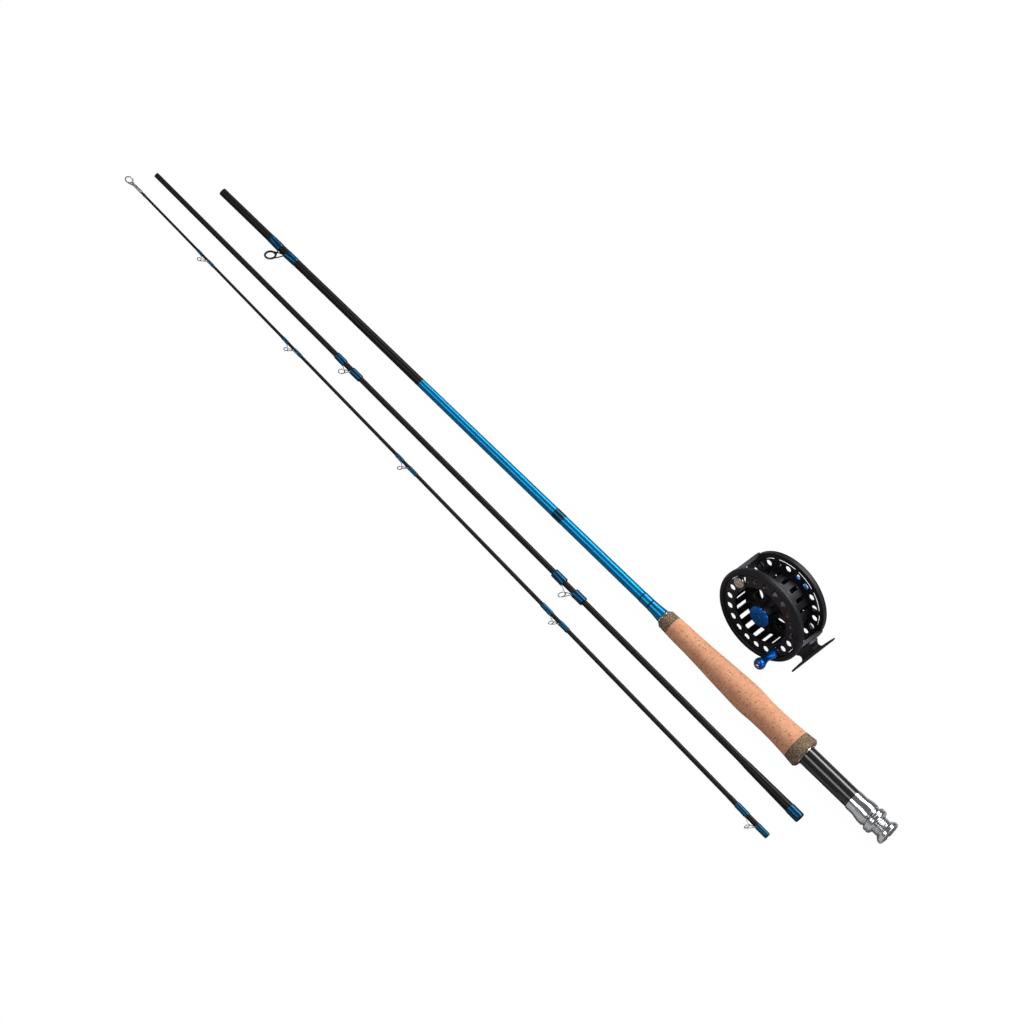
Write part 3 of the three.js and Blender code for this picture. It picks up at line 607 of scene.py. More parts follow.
def butt_blank():
    profile = blank_profile("butt_blank", BUTT)
    split = [PAINT_START - 0.05, PAINT_START + 0.05]
    table = outer_table("butt_blank", BUTT)
    outside = [p for p in profile if p[1] > 3]
    profile = sorted([p for p in outside] + [(x, interpolate(table, x)) for x in split]) + \
        [p for p in profile if p[1] <= 3][1:]
    body = turned("butt_blank_tube", profile, BUTT, [CARBON, BLUE_PAINT],
                  slot_of=lambda x, r: 1 if x > PAINT_START and r > 3 else 0)
    put(body, "butt_section", "butt_blank", slot="carbon_blank")


def wrap(node, matrix, body, look, lift=0.0, guide_side=0):
    """Thread under epoxy, thin at both ends; over a guide's foot it rises towards the guide's side."""
    x0, x1, r0, r1 = span_x(node, matrix)
    length = x1 - x0
    count = 24
    profile = []
    for i in range(count + 1):
        t = i / count
        rise = WRAP_THICK * min(1.0, min(t, 1 - t) * length / 1.2) ** 0.6
        profile.append((x0 + length * t, r0 + (r1 - r0) * t - WRAP_STAND + rise))
    bm = bmesh.new()
    add_turned(bm, profile + [(x1, r1 - WRAP_STAND - 0.07), (x0, r0 - WRAP_STAND - 0.07)])
    for v in bm.verts:
        r = math.hypot(v.co.y, v.co.z)
        t = (v.co.x - x0) / length if guide_side > 0 else (x1 - v.co.x) / length
        if guide_side and r > r0 - WRAP_STAND - 0.05:
            swell = lift * t ** 1.3 * max(0.0, -v.co.y / r) ** 4
            v.co.y *= 1 + swell / r
            v.co.z *= 1 + swell / r
    put(finish_mesh(node + "_thread", bm, matrix, look), body, node, slot="thread_wrap")


def hosel():
    """A band with dark edges, then a painted flare that runs out under the winding check."""
    x0, x1, r0, _ = span_x("hosel_wrap", BUTT)
    base = r0 - HOSEL_STAND
    band = x0 + HOSEL_BAND
    profile = rounded([(x0, base + 0.02), (x0 + 0.8, base + 0.2), (band - 0.5, base + 0.22), (band, base + 0.1),
                       (band + 0.7, base + 0.3), (x1 - 8, base + 0.55), (x1 - 3, base + 1.05),
                       (x1 - 0.2, base + 1.35), (x1, base + 1.2)], 0.8, 5)
    profile += [(x1, base - 0.05), (x0, base - 0.05)]
    piece = turned("hosel_wrap_thread", profile, BUTT, [DARK_WRAP, HOSEL], 64,
                   slot_of=lambda x, r: 0 if x < x0 + 1.6 or abs(x - band) < 0.9 else 1)
    put(piece, "butt_section", "hosel_wrap", slot="thread_wrap")


def add_ring_guide(bm, centre, ring, lean, gauge, front, rear, blank):
    """A leaning ring on one front leg and two rear legs, whose feet run in under the wraps."""
    tilt = math.radians(lean)
    turn = Matrix.Translation(centre) @ Matrix.Rotation(-tilt, 4, "Z")
    add_turned(bm, torus_profile(ring, gauge), 48, turn=turn)
    near = Vector((centre.x + ring * math.sin(tilt), centre.y + ring * math.cos(tilt), 0))
    foot = blank + gauge + 0.05
    leg = gauge * 0.88
    drop = -centre.y - foot
    for side in (-1, 1):
        add_sweep(bm, [(rear + 5, -foot + 0.35, side * leg * 0.3), (rear + 0.4, -foot, side * leg * 0.8),
                       (rear - (rear - centre.x) * 0.3, -foot - drop * 0.32, side * ring * 0.5),
                       (centre.x + (rear - centre.x) * 0.2, -foot - drop * 0.85, side * ring * 0.95),
                       (centre.x, centre.y, side * ring)], leg)
    add_sweep(bm, [(front - 5, -foot + 0.35, 0), (front - 0.4, -foot, 0),
                   (front + (near.x - front) * 0.45, -foot - (-near.y - foot) * 0.45, 0), near], leg)


def guide(node, matrix, body):
    """One line guide between the front and the rear wrap of its own number."""
    stem, number = node.split("_guide_")
    front_wrap = f"{stem}_wrap_{number}_front"
    rear_wrap = f"{stem}_wrap_{number}_rear"
    if rear_wrap not in frame["nodes"]:
        rear_wrap = f"{stem}_ferrule_wrap"
    ring, lean = GUIDE_RINGS[node]
    points = local(node, matrix)
    reach = max(abs(p.z) for p in points)
    centre = mean([p for p in points if abs(p.z) > reach - 0.5 * GUIDE_WIRE])
    centre.z = 0
    _, front, _, foot = span_x(front_wrap, matrix)
    rear = span_x(rear_wrap, matrix)[0]
    bm = bmesh.new()
    add_ring_guide(bm, centre, ring, lean, GUIDE_WIRE, front, rear, foot - WRAP_STAND)
    put(finish_mesh(node + "_wire", bm, matrix, WIRE, 60), body, node, slot="guide_wire")


def torus_profile(ring, wire, count=16):
    return [(wire * math.sin(2 * math.pi * i / count), ring + wire * math.cos(2 * math.pi * i / count))
            for i in range(count)]


def stripping_guide():
    """Black ring on two rear legs and a front brace, with a polished lining."""
    centre = mean(local("stripping_guide_ring", BUTT))
    centre.z = 0
    _, front, _, foot = span_x("stripper_wrap_front", BUTT)
    rear = span_x("stripper_wrap_rear", BUTT)[0]
    ring = STRIPPER_RING
    bm = bmesh.new()
    add_ring_guide(bm, centre, ring, STRIPPER_LEAN, STRIPPER_WIRE, front, rear, foot - WRAP_STAND)
    put(finish_mesh("stripping_guide_wires", bm, BUTT, BLACK_STEEL, 60), "butt_section",
        "stripping_guide_frame", slot="black_steel")
    lining = rounded([(-0.7, ring - 0.6), (-0.8, ring - 1.0), (0, ring - 1.25), (0.8, ring - 1.0),
                      (0.7, ring - 0.6)], 0.3)
    turn = Matrix.Translation(centre) @ Matrix.Rotation(math.radians(-STRIPPER_LEAN), 4, "Z")
    bm = bmesh.new()
    add_turned(bm, lining, 48, turn=turn)
    put(finish_mesh("stripping_guide_lining", bm, BUTT, CERAMIC, 60), "butt_section",
        "stripping_guide_ring", slot="ring_insert")


def tip_top():
    """Wire ring and stems on a short tube at the very end of the rod."""
    x1 = span_x("tip_top", TIP)[1]
    ring, wire = 3.3, 0.55
    lean = Matrix.Rotation(math.radians(30), 4, "Z") @ Matrix.Rotation(math.radians(90), 4, "Z")
    bm = bmesh.new()
    add_turned(bm, torus_profile(ring, wire), 48, turn=lean)
    add_turned(bm, rounded([(4.4, 1.05), (4.4, 1.22), (x1 - 0.3, 1.36), (x1, 1.25), (x1, 1.1)], 0.15), 32)
    for side in (-1, 1):
        add_sweep(bm, [(8, 0, side * 1.05), (6, 0, side * 1.2), (4, 0, side * 1.9), (2.2, 0, side * 2.8),
                       (0, 0, side * 3.3)], 0.5)
    put(finish_mesh("tip_top_ring", bm, TIP, WIRE, 50), "tip_section", "tip_top", slot="guide_wire")


def grip_radius(x, x0, x1):
    """A smooth curve through the grip's turned shape."""
    t = (x - x0) / (x1 - x0) * (len(GRIP_RADII) - 1)
    k = max(0, min(len(GRIP_RADII) - 2, int(t)))
    f = t - k
    a, b = GRIP_RADII[max(0, k - 1)], GRIP_RADII[k]
    c, d = GRIP_RADII[k + 1], GRIP_RADII[min(len(GRIP_RADII) - 1, k + 2)]
    return 0.5 * (2 * b + (c - a) * f + (2 * a - 5 * b + 4 * c - d) * f * f + (3 * b - a - 3 * c + d) * f ** 3)


def grip():
    start = span_x("grip_front_ring", BUTT)[0]
    end = span_x("grip_rear_ring", BUTT)[1]
    for node, look, slot, front_edge, rear_edge in (
            ("grip_front_ring", BURL, "burl_cork", 1.6, 0), ("cork_grip", CORK, "cork", 0, 0),
            ("grip_rear_ring", BURL, "burl_cork", 0, 1.8)):
        x0, x1, _, _ = span_x(node, BUTT)
        count = max(6, int((x1 - x0) / 1.5))
        profile = [(x0, GRIP_BORE)]
        for i in range(count + 1):
            x = x0 + (x1 - x0) * i / count
            r = grip_radius(x, start, end)
            if front_edge and x - x0 < front_edge:
                r -= front_edge * (1 - math.sqrt(1 - (1 - (x - x0) / front_edge) ** 2)) * 0.8
            if rear_edge and x1 - x < rear_edge:
                r -= rear_edge * (1 - math.sqrt(1 - (1 - (x1 - x) / rear_edge) ** 2)) * 0.8
            profile.append((x, r))
        profile.append((x1, GRIP_BORE))
        put(turned(node + "_turned", profile, BUTT, look, 96), "butt_section", node, slot=slot)


def seat_metal():
    for node, kind, bore, outside, edge, look, sides, slot in (
            ("winding_check", "_ring", CHECK_BORE, (5.9, 6.5, 6.9), 0.3, CHROME, ROUND, "chrome"),
            ("seat_collar", "_ring", COLLAR_BORE, (COLLAR_OUTER, COLLAR_OUTER - 0.2), 0.3, CHROME, 96, "chrome"),
            ("seat_barrel", "_tube", BARREL_BORE, (BARREL_OUTER, BARREL_OUTER), 0.2, WEAVE, 96, "seat_weave")):
        x0, x1, _, _ = span_x(node, BUTT)
        places = (x0, x0 + 0.4, x1) if len(outside) == 3 else (x0, x1)
        profile = rounded([(x0, bore), *zip(places, outside), (x1, bore)], edge)
        put(turned(node + kind, profile, BUTT, look, sides), "butt_section", node, slot=slot)
    seat_thread()
    hood()
    nut()
    cap()


def seat_thread():
    """A real helical thread on the rear end of the seat."""
    x0, x1, r, _ = span_x("seat_thread", BUTT)
    bm = bmesh.new()
    sides, per = 64, 10
    turns = (x1 - x0) / THREAD_PITCH
    rows = int(turns * per)
    grid = []
    for k in range(rows + 1):
        x = x0 + (x1 - x0) * k / rows
        ring = []
        for i in range(sides):
            phase = (x / THREAD_PITCH - i / sides) % 1.0
            depth = THREAD_DEPTH * min(1, 2.4 * min(phase, 1 - phase))
            a = 2 * math.pi * i / sides
            ring.append(bm.verts.new((x, (r - depth) * math.cos(a), (r - depth) * math.sin(a))))
        grid.append(ring)
    bores = [[bm.verts.new((x, y, z)) for y, z in circle(THREAD_CORE, sides)] for x in (x0, x1)]
    for a, b in [*zip(grid, grid[1:]), (grid[0], bores[0]), (grid[-1], bores[1]), (bores[0], bores[1])]:
        bridge(bm, a, b)
    put(finish_mesh("seat_thread_cut", bm, BUTT, CHROME, 30), "butt_section", "seat_thread", slot="chrome")


def hood():
    """A plain lip that flares towards the nut and steps in again at its tail."""
    x0, x1, lip, _ = span_x("sliding_hood", BUTT)
    steps = ((0, lip), (7.8, lip), (14.5, HOOD_FLARE), (19.4, HOOD_FLARE), (19.7, HOOD_TAIL))
    profile = [(x0, HOOD_BORE)] + [(x0 + d, r) for d, r in steps] + [(x1, HOOD_TAIL), (x1, HOOD_BORE)]
    profile = rounded(profile, 0.6)
    put(turned("sliding_hood_shell", profile, BUTT, CHROME, 96), "hood", "sliding_hood", slot="chrome")


def nut():
    """Two rounded beads with a groove between them."""
    x0, x1, _, _ = span_x("locking_nut", BUTT)
    r = NUT_RADIUS
    profile = rounded([(x0, NUT_BORE), (x0, r - 1.8), (x0 + 1.1, r - 0.4), (x0 + 2.2, r), (x0 + 3.2, r),
                       (x0 + 3.5, r - 0.45), (x0 + 4.0, r - 0.45), (x0 + 4.3, r), (x1 - 2.2, r),
                       (x1 - 1.1, r - 0.4), (x1, r - 1.8), (x1, NUT_BORE)], 0.4)
    put(turned("locking_nut_ring", profile, BUTT, CHROME, 96), "nut", "locking_nut", slot="chrome")


def cap():
    """A short cone on a neck, with a dark face set in behind its rim."""
    x0, x1, _, _ = span_x("butt_cap", BUTT)
    r = CAP_RADIUS
    profile = rounded([(x0, 0), (x0, CAP_NECK), (x0 + 2.8, r), (x1 - 0.6, r), (x1, r - 0.6), (x1, CAP_FACE + 0.4),
                       (x1 - 0.55, CAP_FACE), (x1 - 0.55, 0)], 0.25)
    piece = turned("butt_cap_disc", profile, BUTT, [CHROME, END_FACE], 96, closed=False,
                   slot_of=lambda x, radius: 1 if x > x1 - 0.8 and radius < CAP_FACE + 0.1 else 0)
    put(piece, "butt_section", "butt_cap", slot="chrome")


def section_of(node):
    for start, matrix, body in (("mid", MID, "mid_section"), ("tip", TIP, "tip_section")):
        if node.startswith(start):
            return matrix, body
    return BUTT, "butt_section"


def wraps_and_guides():
    for node in frame["nodes"]:
        matrix, body = section_of(node)
        lift = 1.0 if body == "butt_section" else 0.6
        if node in GUIDE_RINGS:
            guide(node, matrix, body)
        elif node.endswith("_front"):
            wrap(node, matrix, body, WRAP, lift, 1)
        elif node.endswith("_rear") or node == "tip_ferrule_wrap":
            wrap(node, matrix, body, WRAP, lift, -1)
        elif node in ("trim_wrap", "mid_ferrule_wrap", "tip_top_wrap"):
            wrap(node, matrix, body, DARK_WRAP if node == "trim_wrap" else WRAP)


def rod():
    butt_blank()
    for node, hollow, socket, depth in (("mid_blank", 0.8, 3.55, 60), ("tip_blank", 0.6, 2.3, 45)):
        matrix, body = section_of(node)
        profile = blank_profile(node, matrix, hollow, socket, depth)
        put(turned(node + "_tube", profile, matrix, CARBON), body, node, slot="carbon_blank")
    wraps_and_guides()
    hosel()
    stripping_guide()
    tip_top()
    grip()
    seat_metal()


# ------------------------------------------------------------------ reel pieces
def hole_loops(count, ring, radius, phase, points=28, skip=()):
    """A ring of round holes, without those that lie nearest the angles in skip."""
    half = 180 / count
    angles = [phase + 360 * i / count for i in range(count)]
    free = [a for a in angles if all(abs((a - s + 180) % 360 - 180) > half for s in skip)]
    return [circle(radius, points, polar(ring, a)) for a in free]


def arc_bar(bm, angle, half, inner, outer, d0, d1, count=12):
    """A curved cage bar that joins the two rims."""
    loop = [polar(outer, angle - half + 2 * half * i / count) for i in range(count + 1)]
    loop += [polar(inner, angle + half - 2 * half * i / count) for i in range(count + 1)]
    add_plate(bm, [loop], d0, d1, 0.4)


def window_loop(index, spoke=3.2, corner=1.6):
    """A wedge window with rounded corners in the back plate."""
    half = 180 / WINDOWS
    middle = 360 * index / WINDOWS + 18
    out = half - math.degrees(math.asin(spoke / 2 / WINDOW_OUT))
    inn = half - math.degrees(math.asin(spoke / 2 / WINDOW_IN))
    arc = [polar(WINDOW_OUT, middle - out + 2 * out * i / 8) for i in range(9)]
    arc += [polar(WINDOW_IN, middle + inn - 2 * inn * i / 8) for i in range(9)]
    loop = rounded(arc + arc[:2], corner, 3)
    return loop[1:-1]


def reel_frame():
    bm = bmesh.new()
    front = rounded([(5, RIM_INNER), (0.9, RIM_INNER), (0, RIM_INNER + 0.9), (0, RIM_OUTER - 1.6),
                     (1.4, RIM_OUTER), (5, RIM_OUTER), (5, RIM_INNER)], 0.5)
    add_turned(bm, front, 128, turn=SPIN)
    rear = rounded([(33, REAR_INNER), (33, REAR_OUTER), (37.2, REAR_OUTER), (39.2, REAR_OUTER - 2.2),
                    (39.2, REAR_INNER), (33, REAR_INNER)], 0.5)
    add_turned(bm, rear, 128, turn=SPIN)
    add_plate(bm, [circle(REAR_INNER + 0.4, 128)] + [window_loop(i) for i in range(WINDOWS)]
              + [circle(2.2, 24)] + hole_loops(10, 20.5, 1.9, 18, 16), 34.6, 36.6, 0.3)
    for angle, half in ((0, 14), (180, 11)):
        arc_bar(bm, angle, half, 40.2, 43.2, 3.5, 35.5)
    put(finish_mesh("reel_frame_cage", bm, REEL, BLACK), "reel_body", "reel_frame", slot="black_anodised")


def reel_foot():
    """Boat-shaped foot with a hollowed underside on a waisted stem."""
    half, wide, tip = 35.4, 6.5, 2.6
    bm = bmesh.new()
    rows, across = 40, 10
    top, under = [], []
    for i in range(rows + 1):
        t = -1 + 2 * i / rows
        w = tip + (wide - tip) * (math.cos(math.pi * min(1, abs(t) * 1.02)) * 0.5 + 0.5) ** 0.55
        if abs(t) > 0.96:
            w *= math.sqrt(max(0.05, 1 - ((abs(t) - 0.96) / 0.045) ** 2))
        thick = 1.1 + 1.3 * (1 - t * t)
        upper, lower = [], []
        for k in range(across + 1):
            s = -1 + 2 * k / across
            sag = 0.7 * s * s
            upper.append(bm.verts.new((53.5 - thick + 0.1 - sag * 0.6, half * t, w * s)))
            lower.append(bm.verts.new((53.5 - sag * 0.5, half * t, w * s)))
        top.append(upper)
        under.append(lower)
    for grid in (top, under):
        for a, b in zip(grid, grid[1:]):
            for k in range(across):
                bm.faces.new((a[k], a[k + 1], b[k + 1], b[k]))
    for a, b in zip(zip(top, under), zip(top[1:], under[1:])):
        for k in (0, across):
            bm.faces.new((a[0][k], a[1][k], b[1][k], b[0][k]))
    for k in range(across):
        for end in (0, rows):
            bm.faces.new((top[end][k], top[end][k + 1], under[end][k + 1], under[end][k]))
    foot_stem(bm)
    middle = Matrix.Translation((0, 0, -19.6))
    bm.transform(middle)
    put(finish_mesh("reel_foot_plate", bm, REEL, BLACK), "reel_body", "reel_foot", slot="black_anodised")


def foot_stem(bm):
    """Blends from a broad pad against the cage to a narrower neck and out again to the foot."""
    levels = [(42.5, 12, 6.6), (44.5, 12, 6.6), (46.0, 10.2, 6.0), (48.0, 9.4, 5.6), (50.0, 10.4, 5.8),
              (51.6, 13, 6.0), (52.4, 16, 6.0)]
    rings = []
    for x, half_y, half_z in levels:
        ring = []
        for i in range(32):
            a = 2 * math.pi * i / 32
            c, s = math.cos(a), math.sin(a)
            ring.append(bm.verts.new((x, half_y * math.copysign(abs(c) ** 0.35, c),
                                      half_z * math.copysign(abs(s) ** 0.35, s))))
        rings.append(ring)
    for a, b in zip(rings, rings[1:]):
        bridge(bm, a, b)
    bm.faces.new(rings[0])
    bm.faces.new(reversed(rings[-1]))


def slotted_wall(bm):
    """The spool's drum with two rows of slots, as an inner and an outer skin joined at the edges."""
    per = 20
    sides = SLOT_COUNT * per
    wide, narrow = set(range(6, 14)), set(range(7, 13))
    depths = [2.0]
    ends = {}
    for low, high in SLOT_ROWS:
        row = [low, low + 0.4, (low + high) / 2, high - 0.4, high]
        depths += row
        for pair, columns in zip(zip(row, row[1:]), (narrow, wide, wide, narrow)):
            ends[pair] = columns
    depths.append(32.2)
    skins = []
    for radius in (ARBOR_INNER, ARBOR_OUTER):
        skins.append([[bm.verts.new((*polar(radius, 360 * i / sides), -d)) for i in range(sides)]
                      for d in depths])
    shut = [[(i % per) not in ends.get((depths[k], depths[k + 1]), ()) for i in range(sides)]
            for k in range(len(depths) - 1)]
    for k, row in enumerate(shut):
        for i, solid in enumerate(row):
            if solid:
                add_wall_cell(bm, skins, shut, k, i)
    for level in (0, -1):
        bridge(bm, skins[0][level], skins[1][level])


def add_wall_cell(bm, skins, shut, k, i):
    """One closed cell of the drum, with an edge face wherever its neighbour is open."""
    inner, outer = skins
    j = (i + 1) % len(shut[k])
    for skin in skins:
        bm.faces.new((skin[k][i], skin[k][j], skin[k + 1][j], skin[k + 1][i]))
    if not shut[k][j]:
        bm.faces.new((inner[k][j], outer[k][j], outer[k + 1][j], inner[k + 1][j]))
    if not shut[k][i - 1]:
        bm.faces.new((inner[k][i], outer[k][i], outer[k + 1][i], inner[k + 1][i]))
    if k and not shut[k - 1][i]:
        bm.faces.new((inner[k][i], outer[k][i], outer[k][j], inner[k][j]))
    if k + 1 < len(shut) and not shut[k + 1][i]:
        bm.faces.new((inner[k + 1][i], outer[k + 1][i], outer[k + 1][j], inner[k + 1][j]))


def spool():
    bm = bmesh.new()
    slotted_wall(bm)
    fittings = [circle(WEIGHT_HOLE, 32, polar(FITTING_CIRCLE, WEIGHT_ANGLE)),
                circle(HANDLE_HOLE, 32, polar(FITTING_CIRCLE, HANDLE_ANGLE))]
    for (radius, near, far), seats, skip in ((FRONT_FLANGE, fittings, (WEIGHT_ANGLE, HANDLE_ANGLE)),
                                             (REAR_FLANGE, [], ())):
        holes = hole_loops(HOLE_COUNT, HOLE_CIRCLE, HOLE_RADIUS, HOLE_PHASE, skip=skip)
        add_plate(bm, [circle(radius, 128), circle(ARBOR_INNER, 96)] + seats + holes, near, far, 0.3)
    between = WEB_PHASE + 180 / WEB_HOLES
    add_plate(bm, [circle(ARBOR_INNER + 0.6, 96), circle(5.5, 24)]
              + hole_loops(WEB_HOLES, WEB_CIRCLE, WEB_HOLE, WEB_PHASE, 36)
              + hole_loops(WEB_HOLES, 22.6, 1.8, between, 16), *WEB_DEPTHS, 0.35)
    hub = rounded([(0.6, HUB_BORE), (0.6, HUB_RADIUS - 0.6), (2.0, HUB_RADIUS), (13.5, HUB_RADIUS),
                   (16.5, HUB_RADIUS + 2), (18.4, HUB_RADIUS + 2), (19, HUB_RADIUS), (22, HUB_RADIUS),
                   (22, HUB_BORE)], 0.6)
    add_turned(bm, hub, 64, turn=SPIN)
    for i in range(WEB_HOLES):
        add_rib(bm, between + 360 / WEB_HOLES * i)
    put(finish_mesh("spool_body", bm, REEL, BLACK, 30), "spool_body", "spool", slot="black_anodised")


def add_rib(bm, angle):
    """A low rib on the web between two of its lightening holes."""
    across = Vector((*polar(1.3, angle + 90), 0))
    loop = [Vector((*polar(8, angle), 0)) - across, Vector((*polar(26.6, angle), 0)) - across * 0.8,
            Vector((*polar(26.6, angle), 0)) + across * 0.8, Vector((*polar(8, angle), 0)) + across]
    add_plate(bm, [[(p.x, p.y) for p in loop]], 14.6, 17, 0.4)


def spool_cap():
    """Blue domed cap with a raised button and finger notches."""
    bm = bmesh.new()
    profile = rounded([(-2.9, 0), (-2.9, 3.0), (-2.5, 3.4), (-2.5, 4.6), (-2.75, 5.0), (-2.2, 7.6), (-0.9, 9.7),
                       (0.3, 10), (0.3, 0)], 0.35)
    sides = 120
    add_turned(bm, profile, sides, closed=False, turn=SPIN)
    for v in bm.verts:
        r = math.hypot(v.co.x, v.co.y)
        if r > 6:
            a = math.atan2(v.co.y, v.co.x)
            notch = max(0.0, math.cos(10 * a)) ** 3 * 0.75 * min(1, (r - 6) / 3)
            v.co.x *= 1 - notch / r
            v.co.y *= 1 - notch / r
    put(finish_mesh("spool_cap_dome", bm, REEL, BLUE), "cap", "spool_cap", slot="blue_anodised")


def counterweight():
    """Slotted button held in the flange opposite the handle."""
    x, y = polar(FITTING_CIRCLE, WEIGHT_ANGLE)
    at = REEL @ Matrix.Translation((x, y, 0))
    profile = rounded([(-1.5, 0), (-1.5, 1.3), (-1.1, 1.7), (-1.1, 3.3), (-1.5, 3.8), (-1.3, 4.7), (-0.6, 5.2),
                       (0.9, 5.2), (0.9, 2.6), (4.4, 2.6), (4.4, 0)], 0.25)
    bm = bmesh.new()
    add_turned(bm, profile, 64, closed=False, turn=SPIN)
    put(finish_mesh("counterweight_button", bm, at, SILVER), "spool_body", "counterweight", slot="bright_metal")


def handle():
    """Waisted knob that spins on a headed pin."""
    at = Matrix.Translation(Vector(JOINTS["handle_spin"]["pos_m"])) @ REEL.to_3x3().to_4x4()
    length = HANDLE_LENGTH
    profile = [(-length + 1.6, HANDLE_BORE), (-length + 1.6, 3.1)]
    waist = [(-25.2, 3.7), (-24.2, 4.6), (-22.9, 5.1), (-21.6, 5.25), (-20.2, 5.05), (-18.8, 4.5), (-17, 3.65),
             (-15, 3.15), (-12.6, 2.95), (-10.2, 3.1), (-8.2, 3.6), (-6.4, 4.1), (-4.8, 4.35), (-3.2, 4.25),
             (-1.8, 3.8), (-0.8, 3.2)]
    profile += [(x * 0.98, r) for x, r in waist] + [(-0.4, 2.8), (-0.4, HANDLE_BORE)]
    put(turned("handle_knob_turned", rounded(profile, 0.4, 2), about_z(at), BLUE, 64), "handle",
        "handle_knob", slot="blue_anodised")
    pin = rounded([(-length + 0.4, 0), (-length + 0.4, 1.9), (-length + 0.8, 2.3), (-length + 1.4, 2.3),
                   (-length + 1.4, HANDLE_PIN), (0, HANDLE_PIN), (0, 2.6), (0.9, 2.6), (0.9, 2.4), (4, 2.4),
                   (4, 0)], 0.15)
    put(turned("handle_pin_turned", pin, about_z(at), STEEL, 40, closed=False), "spool_body",
        "handle_pin", slot="steel")


def drag_knob():
    """Scalloped drag adjuster on the back, with a recessed face."""
    bm = bmesh.new()
    loop = []
    for i in range(144):
        a = 2 * math.pi * i / 144
        r = KNOB_RADIUS - 1.1 * max(0.0, math.cos(KNOB_LOBES * a)) ** 2
        loop.append((r * math.cos(a), r * math.sin(a)))
    add_plate(bm, [loop, circle(11.5, 64)], 39.5, 47, 0.7)
    add_plate(bm, [circle(12, 64), circle(2.4, 24)] + hole_loops(6, 7.2, 1.7, 0, 20), 40.2, 45.4, 0.5)
    add_turned(bm, rounded([(34.7, 0), (34.7, 1.9), (45, 1.9), (45, 2.6), (46.2, 2.2), (46.2, 0)], 0.2), 32,
               closed=False, turn=SPIN)
    put(finish_mesh("drag_knob_dial", bm, REEL, BLUE), "drag_knob_body", "drag_knob", slot="blue_anodised")


def drag_housing():
    """Cup round the drag, with the post that the click pawl swings on."""
    bm = bmesh.new()
    wall = rounded([(HOUSING_FRONT, HOUSING_INNER), (HOUSING_FRONT, HOUSING_OUTER), (HOUSING_BACK, HOUSING_OUTER),
                    (HOUSING_BACK, HOUSING_INNER), (HOUSING_FRONT, HOUSING_INNER)], 0.4)
    add_turned(bm, wall, RING, turn=SPIN)
    at = Matrix.Translation((*polar(PAWL_CIRCLE, PAWL_ANGLE), 0)) @ SPIN
    post = rounded([(18.7, 0), (18.7, PAWL_POST), (25, PAWL_POST), (25, 0)], 0.15)
    add_turned(bm, post, 24, closed=False, turn=at)
    put(finish_mesh("drag_housing_cup", bm, REEL, BLACK), "reel_body", "drag_housing", slot="black_anodised")


def reel():
    reel_frame()
    reel_foot()
    spool()
    spool_cap()
    counterweight()
    handle()
    drag_knob()
    drag_housing()


# ------------------------------------------------------------------ carried-over CAD pieces
def dress_cad():
    looks = {"seat_arbor": FOAM, "drag_washer": FELT}
    looks.update(dict.fromkeys(("foot_screw", "spindle", "drag_rotor", "click_pawl", "clutch_sleeve",
                                "click_gear"), STEEL))
    for node, look in looks.items():
        obj = frame["nodes"][node]
        obj.data.materials.clear()
        obj.data.materials.append(look)


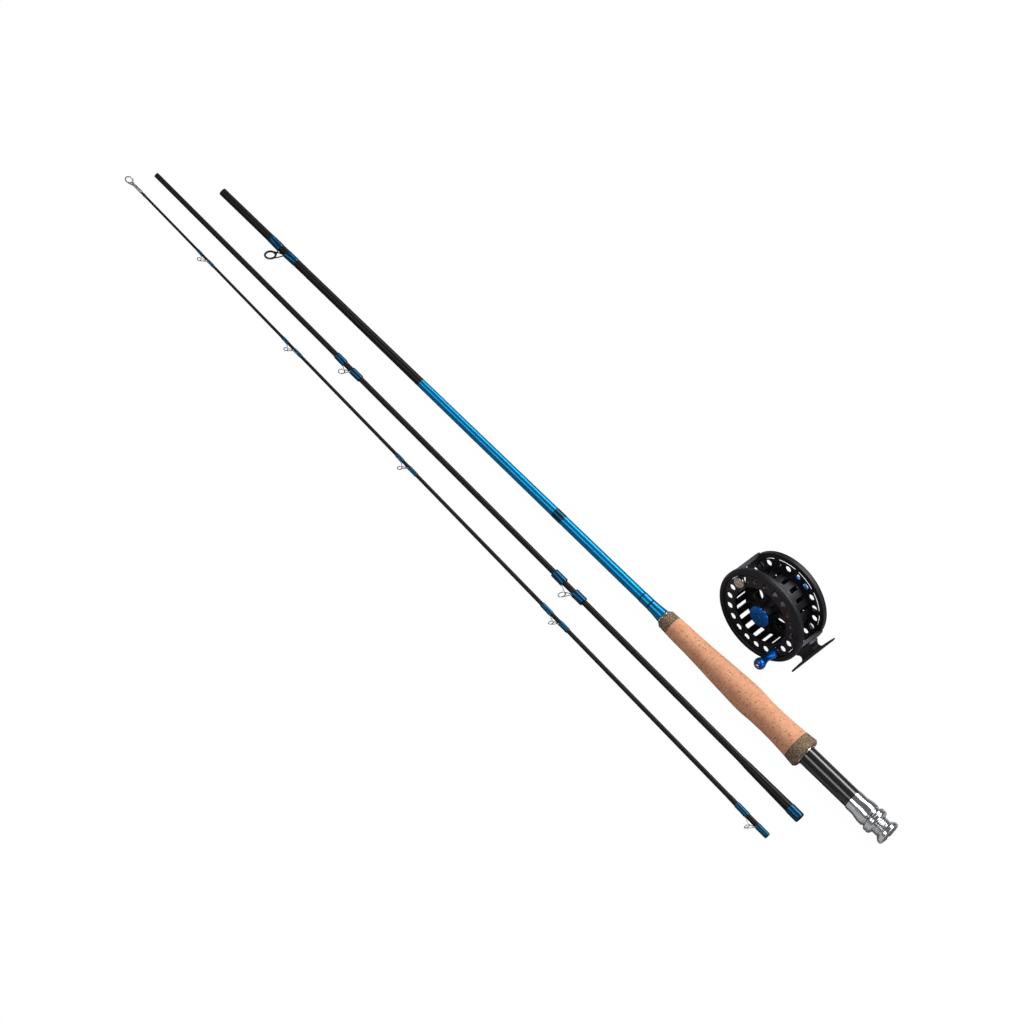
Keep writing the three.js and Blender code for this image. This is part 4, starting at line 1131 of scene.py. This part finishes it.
# ------------------------------------------------------------------ studio
def floor():
    """Pale floor that glows for the camera, so that it stays white without lighting the set from below."""
    look = Look("floor", (0.36, 0.36, 0.36), 0.9)
    look.set(look.shader, {"Specular IOR Level": 0.1})
    glow = look.node("ShaderNodeEmission")
    look.set(glow, {"Strength": 1.06})
    share = look.node("ShaderNodeMath", operation="MULTIPLY")
    share.inputs[1].default_value = 0.93
    mix = look.node("ShaderNodeMixShader")
    look.link(look.node("ShaderNodeLightPath").outputs["Is Camera Ray"], share.inputs[0])
    look.link(share.outputs[0], mix.inputs["Fac"])
    look.link(look.shader.outputs[0], mix.inputs[1])
    look.link(glow.outputs[0], mix.inputs[2])
    look.link(mix.outputs[0], look.tree.nodes["Material Output"].inputs["Surface"])
    bm = bmesh.new()
    bmesh.ops.create_grid(bm, x_segments=1, y_segments=1, size=6)
    obj = finish_mesh("floor", bm, Matrix(), look.material)
    obj.location.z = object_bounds()[0][2] - 0.0002
    obj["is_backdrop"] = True


def softbox(name, place, aim, width, height, power):
    light = bpy.data.lights.new(name, "AREA")
    light.shape = "RECTANGLE"
    light.size = width
    light.size_y = height
    light.energy = power
    obj = bpy.data.objects.new(name, light)
    obj.location = place
    obj.rotation_euler = (Vector(aim) - Vector(place)).to_track_quat("-Z", "Y").to_euler()
    scene.collection.objects.link(obj)


def lights():
    softbox("overhead", (0.3, 0.95, 2.1), (0, 0, 0), 2.6, 0.9, 60)
    softbox("front_fill", (-0.6, -2.4, 1.6), (0, 0, 0), 1.8, 1.0, 20)
    softbox("end_fill", (2.4, 0.2, 1.2), (0.2, 0, 0), 0.9, 0.9, 9)
    world = bpy.data.worlds.new("studio")
    world.use_nodes = True
    world.node_tree.nodes["Background"].inputs["Color"].default_value = (1, 1, 1, 1)
    world.node_tree.nodes["Background"].inputs["Strength"].default_value = 0.14
    scene.world = world


def camera():
    """A long lens looking down over the guides' side, rolled so that the rods lie on the diagonal."""
    azimuth, elevation, roll = (math.radians(d) for d in CAMERA_ANGLES)
    aim = Vector(JOINTS["spool_spin"]["pos_m"]) - REEL_FROM_AIM
    back = Vector((math.sin(azimuth) * math.cos(elevation), -math.cos(azimuth) * math.cos(elevation),
                   math.sin(elevation)))
    right = Vector((math.cos(azimuth), math.sin(azimuth), 0))
    up = back.cross(right)
    tilted_right = right * math.cos(roll) + up * math.sin(roll)
    tilted_up = up * math.cos(roll) - right * math.sin(roll)
    data = bpy.data.cameras.new("camera")
    data.sensor_width = SENSOR_WIDTH
    data.lens = LENS
    obj = bpy.data.objects.new("camera", data)
    turn = Matrix((tilted_right, tilted_up, back)).transposed().to_4x4()
    turn.translation = aim + back * CAMERA_DISTANCE
    obj.matrix_world = turn
    scene.collection.objects.link(obj)
    scene.camera = obj


rod()
reel()
dress_cad()
floor()
lights()
camera()
scene.view_settings.view_transform = "Standard"
scene.view_settings.look = "None"
